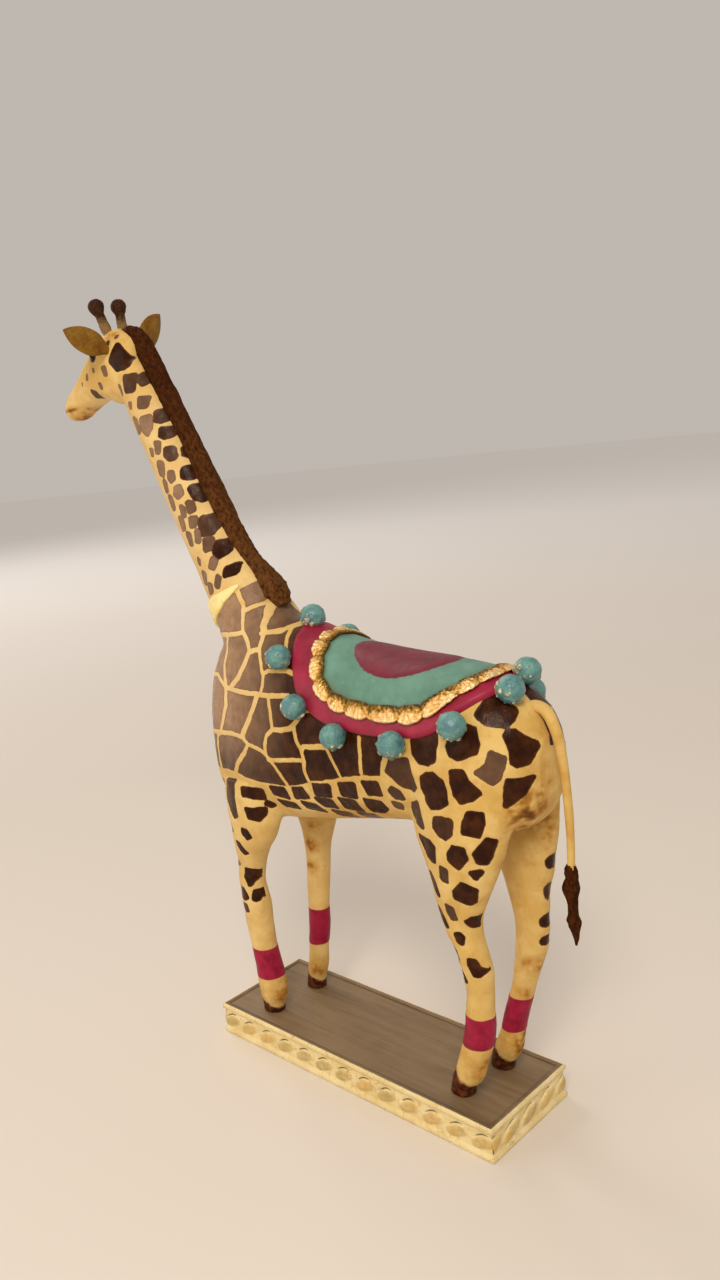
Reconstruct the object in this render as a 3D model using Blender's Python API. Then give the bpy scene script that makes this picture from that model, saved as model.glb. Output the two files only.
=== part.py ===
"""Painted giraffe statuette with a saddle cloth, standing on a moulded plinth.

Every piece that was carved, turned, cut or pressed on its own is its own closed solid:
the plinth board and its four mouldings, the body, neck, head and four legs with the
dowels between them, the foot screws, and the pieces that dress the animal.

Frame: metres, +Z up. The giraffe faces -Y and its left side is +X. The origin is the
centre of the plinth's underside. Numbers in the tables below are millimetres.
"""
import math

import bmesh
import bpy
from mathutils import Vector

MM = 0.001
GAP = 0.3                    # clearance between neighbouring pieces

# Plinth
PLINTH_LENGTH = 200.0
PLINTH_WIDTH = 64.6
PLINTH_HEIGHT = 18.4         # top of the moulding's rail
MOULDING_THICKNESS = 3.3
BOARD_HEIGHT = 18.0          # the board's top lies just under the rail
MOULDING_FIELD_DEPTH = 1.1   # how far the carved field sits behind the two rails
TOP_RAIL_HEIGHT = 3.4
BOTTOM_RAIL_HEIGHT = 2.6

# Rings of the lofted forms
BODY_SIDES = 24
LIMB_SIDES = 16
THIN_SIDES = 10
MIRROR_SIDE = {"left": 1.0, "right": -1.0}

# Barrel of the body, rump to chest: y, half width, top z, bottom z, height of the widest line
BODY = [
    (125.0, 9.0, 209.0, 182.0, 196.0),
    (121.0, 18.5, 218.0, 171.0, 196.0),
    (112.0, 25.0, 227.5, 163.0, 196.0),
    (98.0, 29.5, 233.5, 159.0, 196.0),
    (76.0, 31.0, 236.5, 157.0, 196.0),
    (48.0, 31.0, 238.0, 156.0, 195.0),
    (20.0, 31.0, 240.5, 151.0, 193.0),
    (-8.0, 31.0, 246.0, 145.5, 191.0),
    (-34.0, 31.0, 254.0, 141.0, 188.0),
    (-58.0, 30.0, 256.0, 138.0, 186.0),
    (-77.0, 26.5, 247.0, 138.0, 182.0),
    (-90.0, 20.5, 230.0, 140.5, 179.0),
    (-98.5, 11.0, 205.0, 152.0, 177.0),
]
BODY_SQUARENESS = 2.25

# Neck, from inside the body up into the skull: y, z, half width, half depth
NECK = [
    (-50.0, 226.0, 24.0, 27.0),
    (-60.5, 244.0, 21.5, 25.0),
    (-72.5, 263.5, 18.5, 21.4),
    (-85.5, 281.5, 15.6, 17.8),
    (-98.0, 300.5, 14.2, 16.1),
    (-110.5, 322.5, 13.4, 15.5),
    (-122.0, 345.5, 12.9, 15.0),
    (-133.0, 366.5, 12.4, 14.2),
    (-142.5, 385.5, 12.0, 13.2),
    (-150.0, 401.0, 10.5, 11.5),
]
NECK_JOINT = ((0.0, -73.0, 263.0), (0.0, -0.55, 0.835))
HEAD_JOINT = ((0.0, -143.0, 384.0), (0.0, -0.45, 0.893))

# Head, back of the skull to the lips: y, half width, top z, bottom z, height of the widest line
HEAD = [
    (-137.0, 6.0, 408.0, 392.0, 400.0),
    (-140.5, 9.5, 412.5, 384.0, 400.0),
    (-149.0, 12.0, 417.0, 377.5, 400.0),
    (-160.0, 12.6, 418.5, 375.5, 399.0),
    (-172.0, 12.2, 413.5, 379.5, 397.0),
    (-184.0, 10.4, 406.0, 377.5, 391.0),
    (-196.0, 8.8, 397.5, 373.5, 384.0),
    (-205.0, 8.4, 390.5, 370.0, 379.5),
    (-212.0, 8.2, 384.5, 369.5, 377.0),
    (-217.0, 5.5, 380.0, 372.5, 376.5),
]
HEAD_SQUARENESS = 2.3

# Legs, hoof upwards: z, x, y, half width, half depth. x is measured outwards from the middle.
FORE_LEG = {
    "left": [
        (18.3, 17.0, -68.5, 6.6, 7.6),
        (24.5, 17.0, -68.0, 6.2, 6.8),
        (31.0, 17.2, -67.6, 7.6, 8.4),
        (38.0, 17.4, -67.8, 8.0, 8.8),
        (49.0, 17.5, -69.0, 7.2, 7.8),
        (60.0, 17.7, -70.6, 6.9, 7.6),
        (74.0, 18.0, -71.8, 7.3, 8.6),
        (87.0, 18.3, -72.0, 7.6, 8.9),
        (99.0, 18.6, -72.8, 7.0, 7.9),
        (111.0, 19.2, -70.6, 7.8, 8.6),
        (121.0, 20.0, -67.4, 9.0, 11.0),
        (131.0, 20.5, -63.6, 10.2, 15.5),
        (146.0, 20.5, -61.0, 11.0, 20.0),
        (164.0, 19.0, -62.0, 11.0, 21.0),
    ],
    "right": [
        (18.3, 16.0, -67.0, 6.2, 7.2),
        (24.0, 16.0, -66.0, 5.8, 6.2),
        (31.0, 16.2, -64.0, 6.2, 6.4),
        (40.0, 16.4, -62.4, 6.1, 6.3),
        (49.0, 16.7, -61.4, 6.0, 6.2),
        (60.0, 17.0, -59.4, 6.2, 6.5),
        (74.0, 17.4, -58.6, 6.3, 6.8),
        (90.0, 18.0, -57.0, 6.8, 7.2),
        (101.0, 18.6, -56.0, 7.0, 7.4),
        (111.0, 19.2, -55.4, 7.6, 8.2),
        (121.0, 20.0, -55.0, 8.6, 10.6),
        (131.0, 20.5, -55.4, 10.0, 14.5),
        (146.0, 20.5, -57.0, 11.0, 19.0),
        (164.0, 19.0, -60.0, 11.0, 21.0),
    ],
}
HIND_LEG = {
    "left": [
        (18.3, 15.0, 71.0, 6.6, 8.0),
        (24.0, 15.0, 72.4, 6.2, 7.0),
        (31.0, 15.2, 76.2, 6.8, 7.2),
        (39.5, 15.5, 79.0, 7.6, 8.0),
        (49.0, 15.8, 82.8, 7.4, 8.0),
        (60.0, 16.2, 85.6, 7.0, 7.6),
        (70.0, 16.6, 86.8, 6.8, 7.4),
        (80.0, 17.0, 88.0, 6.5, 6.9),
        (90.0, 17.5, 87.4, 6.8, 7.6),
        (100.0, 18.0, 85.8, 7.2, 8.2),
        (111.0, 18.3, 82.6, 7.9, 9.4),
        (121.0, 18.6, 81.6, 8.9, 11.8),
        (132.0, 18.8, 83.0, 10.2, 15.4),
        (144.0, 19.0, 84.6, 11.4, 19.8),
        (158.0, 19.0, 85.0, 12.4, 25.5),
        (178.0, 18.0, 86.0, 13.0, 29.0),
        (198.0, 16.0, 90.0, 12.0, 22.0),
    ],
    "right": [
        (18.3, 14.2, 74.0, 6.2, 7.6),
        (24.0, 14.2, 75.0, 5.8, 6.6),
        (33.0, 14.5, 79.0, 6.4, 6.9),
        (41.0, 14.8, 81.6, 6.2, 6.6),
        (49.0, 15.1, 83.6, 5.8, 6.2),
        (59.0, 15.6, 86.6, 5.8, 6.2),
        (68.0, 16.0, 89.4, 6.0, 6.4),
        (78.0, 16.4, 92.0, 6.4, 7.0),
        (90.0, 17.0, 95.2, 7.0, 8.2),
        (100.0, 17.5, 96.2, 7.4, 8.9),
        (110.0, 18.0, 95.8, 7.9, 9.6),
        (121.0, 18.4, 94.6, 8.8, 11.4),
        (132.0, 18.8, 94.2, 10.2, 14.6),
        (144.0, 19.0, 91.6, 11.4, 19.2),
        (158.0, 19.0, 88.6, 12.4, 25.0),
        (178.0, 18.0, 87.0, 13.0, 28.0),
        (198.0, 16.0, 90.0, 12.0, 22.0),
    ],
}
FORE_JOINT_Z = 133.0
HIND_JOINT_Z = 140.0
JOINT_REACH = 42.0           # half size of the cut around one leg, front to back

# Dowels and screws: radius and half length, or depths from the plinth's underside
DOWEL_RADIUS = 3.0
LEG_DOWEL_HALF = 11.0
NECK_DOWEL_RADIUS = 4.5
NECK_DOWEL_HALF = 15.0
HEAD_DOWEL_HALF = 10.0
SCREW_RADIUS = 1.6
SCREW_HEAD_RADIUS = 3.4
SCREW_HEAD_RECESS = 1.5
SCREW_HEAD_HEIGHT = 2.2
SCREW_TIP_Z = 30.0

# Saddle cloth: its edge on the left side as y and degrees down from the ridge, front to rear
SADDLE_CENTRE_Y = 48.0
SADDLE_HEM = [
    (-20.0, 0.0),
    (-17.0, 22.0),
    (-11.0, 44.0),
    (-5.0, 62.0),
    (10.0, 73.0),
    (34.0, 77.0),
    (58.0, 76.0),
    (80.0, 69.0),
    (99.0, 52.0),
    (112.0, 26.0),
    (116.0, 0.0),
]
SADDLE_THICKNESS = 1.8
SADDLE_SINK = 2.0            # how far the cloth's blank starts inside the body
SADDLE_RINGS = 5
BRAID_SCALE = 0.80           # size of the braid's loop against the cloth's edge
BRAID_REAR_SCALE = 0.73      # the same behind the middle, where the rear beads sit
BRAID_RADIUS = 1.5

# Beads along the cloth's edge: y and degrees down from the ridge
BEAD_RADIUS = 7.2
BEAD_CENTRE_HEIGHT = 5.2     # from the body's surface to the bead's middle
BEADS_ONE_SIDE = [(-17.0, 43.0), (-4.0, 67.0), (24.0, 79.0), (62.0, 79.0), (95.0, 61.0)]
FRONT_BEAD = (-20.0, 0.0)
REAR_BEADS = {"left": (110.5, 17.0), "right": (106.0, 16.5)}

# Mane: share of the way from the poll (0) to the withers (1), half width, height of its sides
MANE = [(0.0, 3.4, 2.5), (0.12, 4.2, 4.5), (0.45, 4.7, 6.4), (0.78, 6.4, 8.0), (0.93, 8.0, 8.0), (1.0, 5.0, 5.0)]
MANE_DEPTH = 4.0             # blank under the sides, hollowed by the neck, body and skull
MANE_CREST = [
    (-153.0, 420.5),
    (-143.0, 421.0),
    (-134.0, 416.5),
    (-127.5, 405.5),
    (-113.0, 378.5),
    (-98.0, 351.5),
    (-83.5, 325.5),
    (-69.0, 299.5),
    (-59.0, 286.0),
    (-47.0, 277.0),
    (-39.5, 269.5),
    (-36.5, 261.0),
]

# Ears, horns and tail
EAR_BASE = (11.5, -150.5, 408.5)
EAR_TIPS = {"left": (33.5, -161.5, 419.0), "right": (33.0, -158.5, 427.0)}
EAR_HALF_WIDTH = 7.6
EAR_HALF_THICKNESS = 1.6
HORN_BASE = (5.6, -160.0, 417.0)
HORN_TIP = (8.0, -165.0, 433.5)
HORN_STEM_RADIUS = 2.5
HORN_KNOB_RADIUS = 4.4
PEG_RADIUS = 2.2
PEG_DEPTH = 5.0
TAIL_PATH = [
    (112.0, 213.5, 2.4),
    (118.5, 218.5, 2.6),
    (125.0, 217.0, 3.0),
    (129.5, 207.5, 3.0),
    (131.5, 194.0, 2.9),
    (132.5, 176.0, 2.7),
    (132.5, 160.0, 2.5),
    (132.0, 147.5, 2.4),
]
TUFT_PATH = [
    (132.0, 147.0, 2.6),
    (132.0, 141.0, 3.3),
    (131.5, 131.0, 3.1),
    (132.0, 121.0, 3.5),
    (132.5, 115.0, 1.9),
    (132.5, 110.0, 0.6),
]

# Collar: a band around the front of the neck's foot, as degrees to each side of the throat
COLLAR_REACH = 118.0
COLLAR_STEPS = 18
COLLAR_THICKNESS = 2.0
COLLAR_FRONT_HALF = 8.0
COLLAR_END_HALF = 2.6

COLOURS = {                  # base colour, metallic, roughness
    "cream_paint": ((0.78, 0.62, 0.30), 0.0, 0.45),
    "mane_paint": ((0.07, 0.03, 0.015), 0.0, 0.7),
    "horn_paint": ((0.09, 0.04, 0.02), 0.0, 0.5),
    "ear_paint": ((0.36, 0.22, 0.05), 0.0, 0.6),
    "saddle_paint": ((0.33, 0.02, 0.07), 0.0, 0.45),
    "gold_braid": ((0.62, 0.38, 0.10), 0.8, 0.35),
    "bead_glaze": ((0.20, 0.42, 0.45), 0.0, 0.4),
    "plinth_board": ((0.24, 0.19, 0.13), 0.0, 0.6),
    "plinth_moulding": ((0.74, 0.66, 0.43), 0.0, 0.6),
    "bare_dowel": ((0.62, 0.45, 0.26), 0.0, 0.7),
    "screw_steel": ((0.55, 0.55, 0.56), 1.0, 0.35),
}


def clear_scene():
    """Remove the objects of the start-up scene."""
    for obj in list(bpy.data.objects):
        bpy.data.objects.remove(obj)


def material(name):
    """Return the named material, made once from its colour, metallic and roughness."""
    found = bpy.data.materials.get(name)
    if found:
        return found
    colour, metallic, roughness = COLOURS[name]
    made = bpy.data.materials.new(name)
    made.use_nodes = True
    shader = made.node_tree.nodes["Principled BSDF"]
    shader.inputs["Base Color"].default_value = (*colour, 1.0)
    shader.inputs["Metallic"].default_value = metallic
    shader.inputs["Roughness"].default_value = roughness
    made.diffuse_color = (*colour, 1.0)
    return made


def add_object(name, bm, paint=None):
    """Turn a bmesh in millimetres into an object in metres with its faces pointing out."""
    bmesh.ops.recalc_face_normals(bm, faces=bm.faces)
    bmesh.ops.scale(bm, vec=(MM, MM, MM), verts=bm.verts)
    mesh = bpy.data.meshes.new(name)
    bm.to_mesh(mesh)
    bm.free()
    mesh.shade_smooth()
    mesh.set_sharp_from_angle(angle=math.radians(40.0))
    obj = bpy.data.objects.new(name, mesh)
    bpy.context.scene.collection.objects.link(obj)
    if paint:
        mesh.materials.append(material(paint))
    else:
        obj.hide_render = True
        obj.display_type = "WIRE"
    return obj


def combine(target, tools, operation, solver="EXACT"):
    """Join tools to the target or cut them out of it."""
    for tool in tools:
        boolean = target.modifiers.new(operation.lower(), "BOOLEAN")
        boolean.operation = operation
        boolean.solver = solver
        boolean.object = tool


def loft(name, rings, paint=None):
    """Skin a closed solid over rings that all have the same number of points."""
    bm = bmesh.new()
    rows = [[bm.verts.new(point) for point in ring] for ring in rings]
    count = len(rows[0])
    for lower, upper in zip(rows, rows[1:]):
        for index in range(count):
            following = (index + 1) % count
            bm.faces.new((lower[index], lower[following], upper[following], upper[index]))
    bm.faces.new(rows[0])
    bm.faces.new(rows[-1])
    return add_object(name, bm, paint)


def signed_power(value, exponent):
    """Raise the size of a value to a power and keep its sign."""
    return math.copysign(abs(value) ** exponent, value)


def upright_ring(y, half_width, top, bottom, middle, squareness, sides, grow=0.0):
    """Egg-shaped ring in a plane of constant y, widest at the height called middle."""
    ring = []
    for index in range(sides):
        angle = 2.0 * math.pi * index / sides
        across = signed_power(math.sin(angle), 2.0 / squareness)
        upward = signed_power(math.cos(angle), 2.0 / squareness)
        reach = (top - middle + grow) if upward > 0.0 else (middle - bottom + grow)
        ring.append(Vector((across * (half_width + grow), y, middle + upward * reach)))
    return ring


def along_ring(centre, direction, half_width, half_depth, sides, grow=0.0):
    """Oval ring across a direction that lies in the y-z plane."""
    direction = Vector(direction).normalized()
    across = Vector((1.0, 0.0, 0.0))
    depth = direction.cross(across).normalized()
    ring = []
    for index in range(sides):
        angle = 2.0 * math.pi * index / sides
        offset = across * (math.sin(angle) * (half_width + grow))
        offset = offset + depth * (math.cos(angle) * (half_depth + grow))
        ring.append(Vector(centre) + offset)
    return ring


def path_directions(points):
    """Direction of travel at each point of a path, from its neighbours."""
    directions = []
    for index in range(len(points)):
        before = Vector(points[max(index - 1, 0)])
        after = Vector(points[min(index + 1, len(points) - 1)])
        directions.append((after - before).normalized())
    return directions


def body_rings(grow=0.0):
    """Rings of the barrel of the body, lengthened by grow at both ends."""
    rings = []
    for index, (y, half_width, top, bottom, middle) in enumerate(BODY):
        end = {0: grow, len(BODY) - 1: -grow}.get(index, 0.0)
        ring = upright_ring(y + end, half_width, top, bottom, middle, BODY_SQUARENESS, BODY_SIDES, grow)
        rings.append(ring)
    return rings


def neck_rings(grow=0.0):
    """Rings of the neck, from inside the body up into the skull."""
    centres = [(0.0, y, z) for y, z, _, _ in NECK]
    rings = []
    for centre, direction, (_, _, wide, deep) in zip(centres, path_directions(centres), NECK):
        rings.append(along_ring(centre, direction, wide, deep, BODY_SIDES, grow))
    return rings


def head_rings(grow=0.0):
    """Rings of the skull and muzzle."""
    rings = []
    for y, half_width, top, bottom, middle in HEAD:
        rings.append(upright_ring(y, half_width, top, bottom, middle, HEAD_SQUARENESS, LIMB_SIDES, grow))
    return rings


def leg_rings(stations, side):
    """Level rings of one leg, hoof upwards."""
    rings = []
    for z, x, y, half_width, half_depth in stations:
        centre = (x * MIRROR_SIDE[side], y, z)
        rings.append(along_ring(centre, (0.0, 0.0, 1.0), half_width, half_depth, LIMB_SIDES))
    return rings


def half_space(name, joint, size, offset):
    """Box that fills the side of a joint plane that its normal points to, from offset on."""
    point, normal = Vector(joint[0]), Vector(joint[1]).normalized()
    across = Vector((1.0, 0.0, 0.0))
    depth = normal.cross(across).normalized()
    base = point + normal * offset
    rings = []
    for height in (0.0, size):
        centre = base + normal * height
        corners = [(-size, -size), (size, -size), (size, size), (-size, size)]
        rings.append([centre + across * a + depth * b for a, b in corners])
    return loft(name, rings)


def leg_cut(name, stations, side, joint_z, above, offset):
    """Box around one leg's joint that fills the space above or below the joint height."""
    _, x, y, _, _ = min(stations, key=lambda station: abs(station[0] - joint_z))
    sign = 1.0 if above else -1.0
    level = joint_z + sign * offset
    far = level + sign * 5.0 * JOINT_REACH
    outer = x * MIRROR_SIDE[side]
    half_x = abs(outer) - 0.5
    rings = []
    for z in (level, far):
        corners = [(-1.0, -1.0), (1.0, -1.0), (1.0, 1.0), (-1.0, 1.0)]
        rings.append([Vector((outer + half_x * a, y + JOINT_REACH * b, z)) for a, b in corners])
    return loft(name, rings)


def rod(name, start, end, radius, paint=None, sides=THIN_SIDES):
    """Round rod between two points."""
    start, end = Vector(start), Vector(end)
    direction = (end - start).normalized()
    across = direction.orthogonal().normalized()
    depth = direction.cross(across)
    rings = []
    for centre in (start, end):
        angles = [2.0 * math.pi * index / sides for index in range(sides)]
        turned = [across * (radius * math.cos(a)) + depth * (radius * math.sin(a)) for a in angles]
        rings.append([centre + offset for offset in turned])
    return loft(name, rings, paint)


def dowel_with_holes(name, centre, direction, radius, half_length, pieces):
    """Dowel across a joint, and the hole for it in both pieces."""
    centre, direction = Vector(centre), Vector(direction).normalized()
    rod(name, centre - direction * half_length, centre + direction * half_length, radius, "bare_dowel")
    reach = half_length + GAP
    hole = rod(name + "_hole", centre - direction * reach, centre + direction * reach, radius + GAP)
    for piece in pieces:
        combine(piece, [hole], "DIFFERENCE", "MANIFOLD")


def make_legs():
    """Make the four legs and return their blanks, which also shape the body's stubs."""
    legs, blanks = {}, {}
    for end, tables, joint_z in (("front", FORE_LEG, FORE_JOINT_Z), ("rear", HIND_LEG, HIND_JOINT_Z)):
        for side, stations in tables.items():
            name = f"{end}_{side}_leg"
            rings = leg_rings(stations, side)
            leg = loft(name, rings, "cream_paint")
            combine(leg, [leg_cut(name + "_top_cut", stations, side, joint_z, True, 0.0)], "DIFFERENCE")
            legs[name] = (leg, stations, side, joint_z)
            blanks[name] = loft(name + "_blank", rings)
    return legs, blanks


def make_torso(legs, blanks):
    """Barrel of the body with the stubs of the legs and neck, cut at their joints."""
    torso = loft("torso", body_rings(), "cream_paint")
    neck_blank = loft("neck_blank", neck_rings())
    combine(torso, [neck_blank], "UNION")
    combine(torso, blanks.values(), "UNION")
    for name, (_, stations, side, joint_z) in legs.items():
        cut = leg_cut(name + "_stub_cut", stations, side, joint_z, False, -GAP)
        combine(torso, [cut], "DIFFERENCE")
    combine(torso, [half_space("neck_foot_cut", NECK_JOINT, 260.0, 0.0)], "DIFFERENCE")
    return torso


def make_neck():
    """Neck between its two joints."""
    neck = loft("neck", neck_rings(), "cream_paint")
    lower = (NECK_JOINT[0], tuple(-part for part in NECK_JOINT[1]))
    combine(neck, [half_space("neck_lower_cut", lower, 120.0, -GAP)], "DIFFERENCE")
    combine(neck, [half_space("neck_upper_cut", HEAD_JOINT, 120.0, 0.0)], "DIFFERENCE")
    return neck


def make_head():
    """Skull and muzzle with the top of the neck, cut at the head's joint."""
    head = loft("head", head_rings(), "cream_paint")
    combine(head, [loft("neck_top_blank", neck_rings())], "UNION")
    lower = (HEAD_JOINT[0], tuple(-part for part in HEAD_JOINT[1]))
    combine(head, [half_space("head_lower_cut", lower, 400.0, -GAP)], "DIFFERENCE")
    return head


def make_horns(head):
    """Pair of horns with knobbed tips, pegged into the crown."""
    for side, sign in MIRROR_SIDE.items():
        base = Vector((HORN_BASE[0] * sign, HORN_BASE[1], HORN_BASE[2]))
        tip = Vector((HORN_TIP[0] * sign, HORN_TIP[1], HORN_TIP[2]))
        up = (tip - base).normalized()
        profile = [
            (-PEG_DEPTH, PEG_RADIUS),
            (2.0, PEG_RADIUS),
            (4.0, HORN_STEM_RADIUS),
            (11.0, HORN_STEM_RADIUS),
            (13.0, HORN_KNOB_RADIUS * 0.85),
            (15.5, HORN_KNOB_RADIUS),
            (18.5, HORN_KNOB_RADIUS * 0.85),
            (20.0, HORN_KNOB_RADIUS * 0.35),
        ]
        rings = [along_ring(base + up * height, up, r, r, THIN_SIDES) for height, r in profile]
        loft(f"{side}_horn", rings, "horn_paint")
        socket_end = base - up * (PEG_DEPTH + GAP)
        socket = rod(f"{side}_horn_socket", socket_end, base + up * 12.0, HORN_STEM_RADIUS + GAP)
        combine(head, [socket], "DIFFERENCE")


def make_ears(head):
    """Pair of leaf-shaped ears, each with a round peg in the side of the skull."""
    profile = [
        (-0.16, PEG_RADIUS, PEG_RADIUS),
        (0.06, PEG_RADIUS, PEG_RADIUS),
        (0.14, 4.2, 2.2),
        (0.34, EAR_HALF_WIDTH * 0.93, EAR_HALF_THICKNESS),
        (0.52, EAR_HALF_WIDTH, EAR_HALF_THICKNESS),
        (0.72, EAR_HALF_WIDTH * 0.82, EAR_HALF_THICKNESS),
        (0.88, EAR_HALF_WIDTH * 0.5, EAR_HALF_THICKNESS),
        (1.0, 0.8, 0.8),
    ]
    for side, sign in MIRROR_SIDE.items():
        base = Vector((EAR_BASE[0] * sign, EAR_BASE[1], EAR_BASE[2]))
        tip = Vector((EAR_TIPS[side][0] * sign, EAR_TIPS[side][1], EAR_TIPS[side][2]))
        length = tip - base
        outward = length.normalized()
        facing = Vector((0.5 * sign, 0.8, 0.3))
        facing = (facing - outward * facing.dot(outward)).normalized()
        broad = outward.cross(facing)
        rings = []
        for fraction, half_width, half_thickness in profile:
            ring = []
            for index in range(LIMB_SIDES):
                angle = 2.0 * math.pi * index / LIMB_SIDES
                offset = broad * (half_width * math.cos(angle)) + facing * (half_thickness * math.sin(angle))
                ring.append(base + length * fraction + offset)
            rings.append(ring)
        loft(f"{side}_ear", rings, "ear_paint")
        start = base - length * 0.16 - outward * GAP
        socket = rod(f"{side}_ear_socket", start, base + length * 0.14, PEG_RADIUS + 2.0 * GAP)
        combine(head, [socket], "DIFFERENCE")


def interpolate(table, position):
    """Values of a table at a position, linear between its rows, whose first entry is the position."""
    rows = sorted(table)
    position = min(max(position, rows[0][0]), rows[-1][0])
    for before, after in zip(rows, rows[1:]):
        if position <= after[0]:
            share = (position - before[0]) / (after[0] - before[0])
            return [a + (b - a) * share for a, b in zip(before[1:], after[1:])]
    return list(rows[-1][1:])


def body_point(y, degrees, height):
    """Point over the barrel at y, degrees down from the ridge, and a height above its skin."""
    half_width, top, bottom, middle = interpolate(BODY, y)
    angle = math.radians(degrees)
    across = signed_power(math.sin(angle), 2.0 / BODY_SQUARENESS) * half_width
    upward = signed_power(math.cos(angle), 2.0 / BODY_SQUARENESS)
    lift = upward * ((top - middle) if upward > 0.0 else (middle - bottom))
    return Vector((across, y, middle + lift)) + body_normal(y, degrees) * height


def body_normal(y, degrees):
    """Outward direction of the barrel's skin, from the slope of its section."""
    half_width, top, _, middle = interpolate(BODY, y)
    angle = math.radians(degrees)
    across = math.sin(angle) / half_width
    upward = math.cos(angle) / (top - middle)
    step = 3.0
    slope = (interpolate(BODY, y + step)[1] - interpolate(BODY, y - step)[1]) / (2.0 * step)
    return Vector((across, -slope * upward, upward)).normalized()


def saddle_edge(scale=1.0, rear_scale=None):
    """Closed edge of the saddle cloth as y and degrees, scaled about its middle."""
    rear_scale = rear_scale or scale
    left = [(y, degrees) for y, degrees in SADDLE_HEM]
    right = [(y, -degrees) for y, degrees in reversed(SADDLE_HEM[1:-1])]
    edge = []
    for (y, degrees), (next_y, next_degrees) in zip(left + right, (left + right)[1:] + left[:1]):
        for share in (0.0, 0.5):
            here_y = y + (next_y - y) * share
            here_degrees = degrees + (next_degrees - degrees) * share
            from_middle = here_y - SADDLE_CENTRE_Y
            from_middle *= rear_scale if from_middle > 0.0 else scale
            edge.append((SADDLE_CENTRE_Y + from_middle, here_degrees * scale))
    return edge


def make_saddle():
    """Saddle cloth: a thin shell that lies on the back, hollowed to fit it."""
    bm = bmesh.new()
    layers = []
    for height in (-SADDLE_SINK, GAP + SADDLE_THICKNESS):
        rows = []
        for ring in range(1, SADDLE_RINGS + 1):
            edge = saddle_edge(ring / SADDLE_RINGS)
            rows.append([bm.verts.new(body_point(y, degrees, height)) for y, degrees in edge])
        middle = bm.verts.new(body_point(SADDLE_CENTRE_Y, 0.0, height))
        layers.append((middle, rows))
    count = len(layers[0][1][0])
    for middle, rows in layers:
        for index in range(count):
            following = (index + 1) % count
            bm.faces.new((middle, rows[0][index], rows[0][following]))
            for inner, outer in zip(rows, rows[1:]):
                bm.faces.new((inner[index], outer[index], outer[following], inner[following]))
    lower, upper = layers[0][1][-1], layers[1][1][-1]
    for index in range(count):
        following = (index + 1) % count
        bm.faces.new((lower[index], lower[following], upper[following], upper[index]))
    saddle = add_object("saddle_cloth", bm, "saddle_paint")
    hollows = [
        loft("saddle_body_hollow", body_rings(GAP)),
        loft("saddle_neck_hollow", neck_rings(GAP)),
    ]
    combine(saddle, hollows, "DIFFERENCE")
    return saddle


def make_braid():
    """Gold braid: a closed rope that lies on the saddle cloth."""
    height = GAP * 3.0 + SADDLE_THICKNESS + BRAID_RADIUS + 0.3
    edge = saddle_edge(BRAID_SCALE, BRAID_REAR_SCALE)
    centres = [body_point(y, degrees, height) for y, degrees in edge]
    normals = [body_normal(y, degrees) for y, degrees in edge]
    bm = bmesh.new()
    rows = []
    for index, (centre, normal) in enumerate(zip(centres, normals)):
        travel = (centres[(index + 1) % len(centres)] - centres[index - 1]).normalized()
        across = travel.cross(normal).normalized()
        lift = across.cross(travel).normalized()
        ring = []
        for step in range(6):
            angle = math.radians(60.0 * step)
            offset = across * math.cos(angle) * BRAID_RADIUS + lift * math.sin(angle) * BRAID_RADIUS
            ring.append(bm.verts.new(centre + offset))
        rows.append(ring)
    for row, following in zip(rows, rows[1:] + rows[:1]):
        for step in range(6):
            after = (step + 1) % 6
            bm.faces.new((row[step], row[after], following[after], following[step]))
    return add_object("gold_braid", bm, "gold_braid")


def make_bead(name, y, degrees):
    """Bead with a flat back, glued over the edge of the saddle cloth."""
    side = math.copysign(1.0, degrees)
    centre = body_point(y, abs(degrees), BEAD_CENTRE_HEIGHT)
    normal = body_normal(y, abs(degrees))
    centre.x *= side
    normal.x *= side
    cut_height = GAP * 3.0 + SADDLE_THICKNESS - BEAD_CENTRE_HEIGHT
    bm = bmesh.new()
    bmesh.ops.create_uvsphere(bm, u_segments=14, v_segments=9, radius=BEAD_RADIUS)
    turn = Vector((0.0, 0.0, 1.0)).rotation_difference(normal).to_matrix().to_4x4()
    bmesh.ops.transform(bm, matrix=turn, verts=bm.verts)
    bmesh.ops.translate(bm, vec=centre, verts=bm.verts)
    everything = bm.verts[:] + bm.edges[:] + bm.faces[:]
    cut = bmesh.ops.bisect_plane(bm, geom=everything, plane_co=centre + normal * cut_height,
                                 plane_no=normal, clear_inner=True)
    rim = [item for item in cut["geom_cut"] if isinstance(item, bmesh.types.BMEdge)]
    bmesh.ops.edgeloop_fill(bm, edges=rim)
    return add_object(name, bm, "bead_glaze")


def make_beads():
    """Beads around the saddle cloth: one in front, five on each side and two behind."""
    make_bead("bead_front", *FRONT_BEAD)
    for side, sign in MIRROR_SIDE.items():
        for number, (y, degrees) in enumerate(BEADS_ONE_SIDE, start=1):
            make_bead(f"bead_{side}_{number}", y, degrees * sign)
        y, degrees = REAR_BEADS[side]
        make_bead(f"bead_{side}_rear", y, degrees * sign)


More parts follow.
